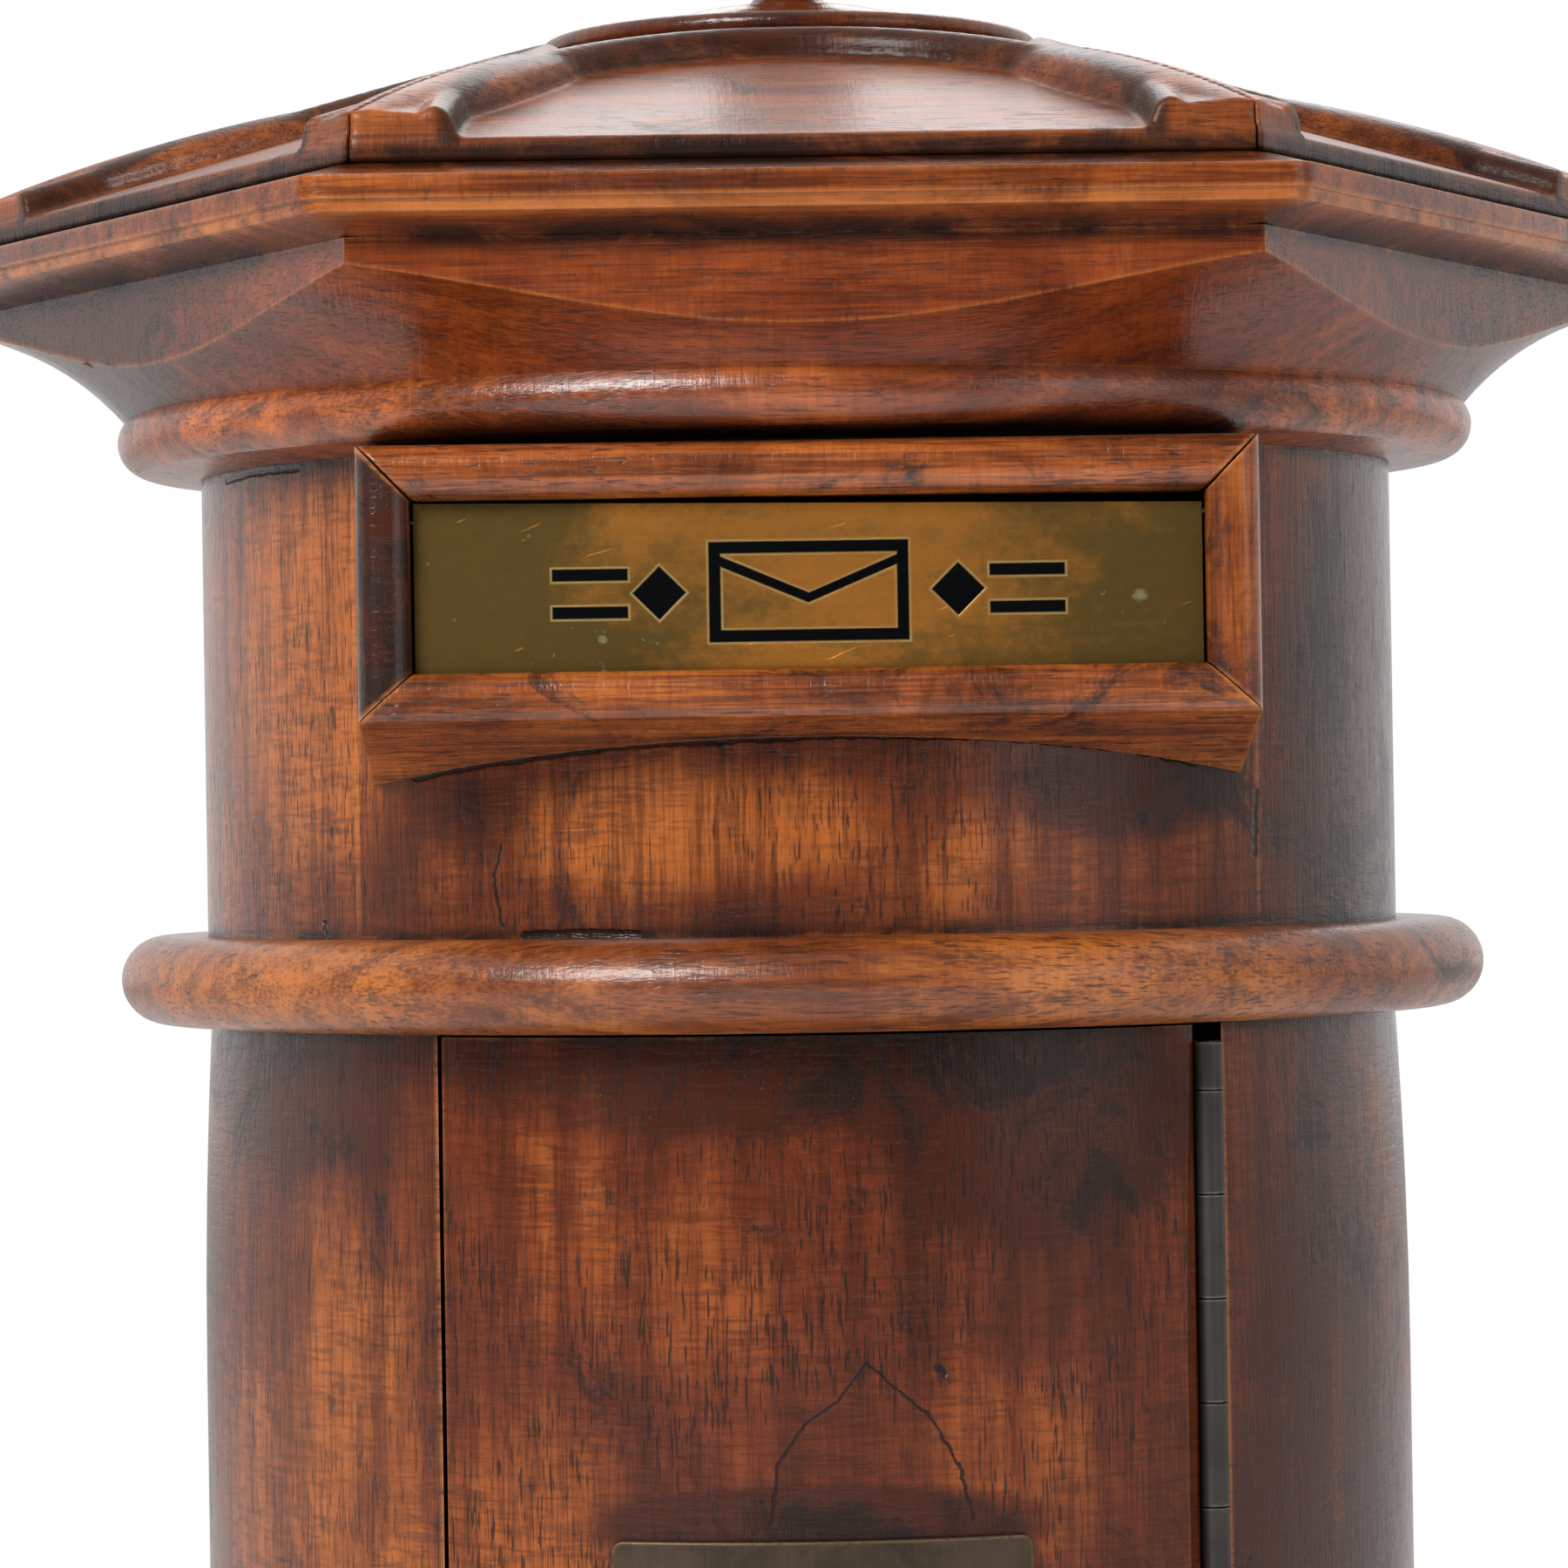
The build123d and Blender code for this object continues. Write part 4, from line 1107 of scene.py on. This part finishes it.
@dataclass
class Door:
    """Curved door and its plaque; top is the height in millimetres of the door's top edge."""

    top: float = 296.0
    arris: float = 0.5 * MM
    plaque_arris: float = 0.4 * MM
    cracks: tuple[Crack, ...] = (
        Crack(((-9.5, 207.0), (-8.0, 218.0), (-3.0, 225.0), (3.0, 229.0), (8.5, 236.0)), 0.4),
        Crack(((8.5, 236.0), (11.5, 233.0), (20.0, 226.0), (25.0, 217.0), (27.5, 207.0)), 0.4),
        Crack(((21.6, 235.2), (22.4, 233.6)), 1.1),
    )
    # soft patches of painted light and shade on the door, darkest near its top
    light_patches: tuple[LightPatch, ...] = (
        LightPatch(40.0, 282.0, 40.0, 30.0, -1.5),
        LightPatch(-20.0, 288.0, 60.0, 14.0, -1.0),
        LightPatch(-55.0, 195.0, 24.0, 45.0, 1.1),
        LightPatch(35.0, 215.0, 28.0, 26.0, 0.7),
        LightPatch(0.0, 206.0, 50.0, 9.0, -2.6),
        LightPatch(-30.0, 250.0, 30.0, 22.0, 0.4),
    )

    def build(self) -> Pieces:
        """Dresses the door.

        Returns:
            Its pieces.
        """
        skin = WoodFinish("door_stave", Grain.STAVE, ground=(0.140, 0.0270, 0.0075),
                          glow=(0.33, 0.083, 0.014), glow_share=0.4, patina=0.35, pores=0.8,
                          wear=0.5, shine=0.25, cracks=self.cracks, light_patches=self.light_patches,
                          dirt_and_shade_levels=(self.top,)).make()
        bronze = OldMetalFinish("plaque_bronze", ground=(0.092, 0.062, 0.040),
                                rubbed=(0.52, 0.33, 0.17), stain=(0.036, 0.026, 0.019)).make()
        return [soften("door", skin, self.arris, 2),
                soften("plaque", bronze, self.plaque_arris)]


@dataclass
class Lock:
    """Cam lock of the door."""

    steel: bpy.types.Material

    def build(self) -> Pieces:
        """Dresses the lock.

        Returns:
            Its pieces.
        """
        brass = BrassFinish("lock_brass").make()
        return [*dress(("lock_housing", "lock_nut", "lock_plug"), brass),
                *dress(("lock_cam", "cam_screw"), self.steel)]


@dataclass
class Hinge:
    """Piano hinge."""

    steel: bpy.types.Material

    def build(self) -> Pieces:
        """Dresses the hinge.

        Returns:
            Its pieces.
        """
        names = ("leaf_body", "leaf_door", "pin", "screws_body", "screws_door")
        return dress(tuple(f"hinge_{name}" for name in names), self.steel)


# ---------------------------------------------------------------- studio
@dataclass
class Studio:
    """Pale floor, soft light and the camera of the photograph.

    Attributes:
        floor_size: half the floor's side.
        floor_fade: distances from the axis between which the floor turns white.
        lens: focal length in millimetres.
        sensor: sensor width in millimetres.
        distance: the camera's distance from the axis.
        eye_height: its height.
        azimuth: its angle about the axis from the front, in degrees.
        aim: how far it looks past the axis, in degrees.
        pitch: how far it looks up, in degrees.
        roll: how far it is tilted, in degrees.
        room_light: light from the dim room in front.
        sky_light: light from the studio behind.
        room_glint: the dim room in reflections.
        lamp_aim: height that the lamps face.
    """

    floor_size: float = 6.0
    floor_fade: Point2 = (0.35, 1.1)
    lens: float = 132.8
    sensor: float = 36.0
    distance: float = 1.172
    eye_height: float = 0.334
    azimuth: float = -1.0
    aim: float = -0.155
    pitch: float = 0.405
    roll: float = -0.9
    room_light: float = 0.26
    sky_light: float = 0.70
    room_glint: float = 0.06
    lamp_aim: float = 0.33

    def floor(self) -> None:
        """Lays the floor."""
        work = bmesh.new()
        bmesh.ops.create_grid(work, x_segments=1, y_segments=1, size=self.floor_size)
        mesh = bpy.data.meshes.new("floor")
        work.to_mesh(mesh)
        work.free()
        piece = bpy.data.objects.new("floor", mesh)
        bpy.context.scene.collection.objects.link(piece)
        paint = Paint("floor_paper")
        paint.look({"Base Color": (0.88, 0.88, 0.88), "Roughness": 0.9})
        x, y, _ = paint.place()
        seen = Value(paint, paint.node("ShaderNodeLightPath", {}, {}).outputs["Is Camera Ray"])
        fade = (x * x + y * y).root().step(self.floor_fade[0], self.floor_fade[1]) * seen
        white = paint.node("ShaderNodeEmission", {}, {"Color": (1.0, 1.0, 1.0), "Strength": 1.0})
        inputs = {0: fade, 1: paint.surface.outputs[0], 2: white.outputs[0]}
        blend = paint.node("ShaderNodeMixShader", {}, inputs)
        paint.feed(paint.output.inputs["Surface"], blend.outputs[0])
        mesh.materials.append(paint.material)

    def world(self) -> None:
        """White to the camera; in reflections a white studio behind and a dim room in front."""
        world = bpy.data.worlds.new("studio")
        bpy.context.scene.world = world
        world.use_nodes = True
        room = Graph(world.node_tree)
        path = room.node("ShaderNodeLightPath", {}, {})
        way = room.node("ShaderNodeTexCoord", {}, {}).outputs["Generated"]
        heading = room.node("ShaderNodeSeparateXYZ", {}, {0: way})
        forward, upward = Value(room, heading.outputs["Y"]), Value(room, heading.outputs["Z"])
        behind = (forward + upward * 0.25).step(-0.55, 0.35)
        seen = Value(room, path.outputs["Is Camera Ray"])
        through = Value(room, path.outputs["Is Transmission Ray"])
        mirrored = Value(room, path.outputs["Is Glossy Ray"]).most(through)
        glint = self.room_glint + behind * (1.0 - self.room_glint)
        glow = self.room_light + behind * (self.sky_light - self.room_light)
        strength = seen + (1.0 - seen) * (mirrored * glint + (1.0 - mirrored) * glow)
        back = room.node("ShaderNodeBackground", {}, {"Color": (1.0, 1.0, 1.0), "Strength": strength})
        room.node("ShaderNodeOutputWorld", {}, {"Surface": back.outputs[0]})

    def lamp(self, name: str, where: Vector, size: float, power: float) -> None:
        """Hangs one soft lamp that faces the drum.

        Args:
            name: the lamp's name.
            where: its place in metres.
            size: its side in metres.
            power: watts.
        """
        light = bpy.data.lights.new(name, "AREA")
        light.shape = "SQUARE"
        light.size = size
        light.energy = power
        lamp = bpy.data.objects.new(name, light)
        facing = (Vector((0.0, 0.0, self.lamp_aim)) - where).to_track_quat("-Z", "Y")
        lamp.matrix_world = Matrix.Translation(where) @ facing.to_matrix().to_4x4()
        bpy.context.scene.collection.objects.link(lamp)

    def camera(self) -> None:
        """Stands the camera where the photograph was taken from."""
        data = bpy.data.cameras.new("camera")
        data.lens = self.lens
        data.sensor_width = self.sensor
        data.clip_start = 0.05
        camera = bpy.data.objects.new("camera", data)
        turn = radians(self.azimuth)
        where = Vector((self.distance * sin(turn), -self.distance * cos(turn), self.eye_height))
        look = Euler((radians(90 + self.pitch), 0.0, turn - radians(self.aim))).to_matrix()
        look = look @ Matrix.Rotation(radians(self.roll), 3, "Z")
        camera.matrix_world = Matrix.Translation(where) @ look.to_4x4()
        bpy.context.scene.collection.objects.link(camera)
        bpy.context.scene.camera = camera

    def build(self) -> None:
        """Sets the stage."""
        self.floor()
        self.world()
        self.lamp("key", Vector((-1.0, -1.6, 1.5)), 0.8, 44.0)
        self.lamp("fill", Vector((1.5, -1.4, 0.9)), 1.2, 7.0)
        self.lamp("back", Vector((0.2, 1.6, 1.8)), 1.2, 12.0)
        self.camera()
        bpy.context.scene.view_settings.view_transform = "Standard"


def main() -> None:
    """Builds every sub-assembly and the studio."""
    logging.basicConfig(level=logging.INFO, format="%(message)s")
    steel = OldMetalFinish("hinge_steel", ground=(0.066, 0.060, 0.056), rubbed=(0.24, 0.21, 0.19),
                           stain=(0.036, 0.032, 0.030), roughness=0.40).make()
    for assembly in (Base(steel), Drum(), Crown(), Slot(steel), Door(), Lock(steel), Hinge(steel)):
        for piece in assembly.build():
            log.info("%s: %s, %s", type(assembly).__name__, piece.name, piece.data.materials[0].name)
    Studio().build()


if __name__ == "__main__":
    main()
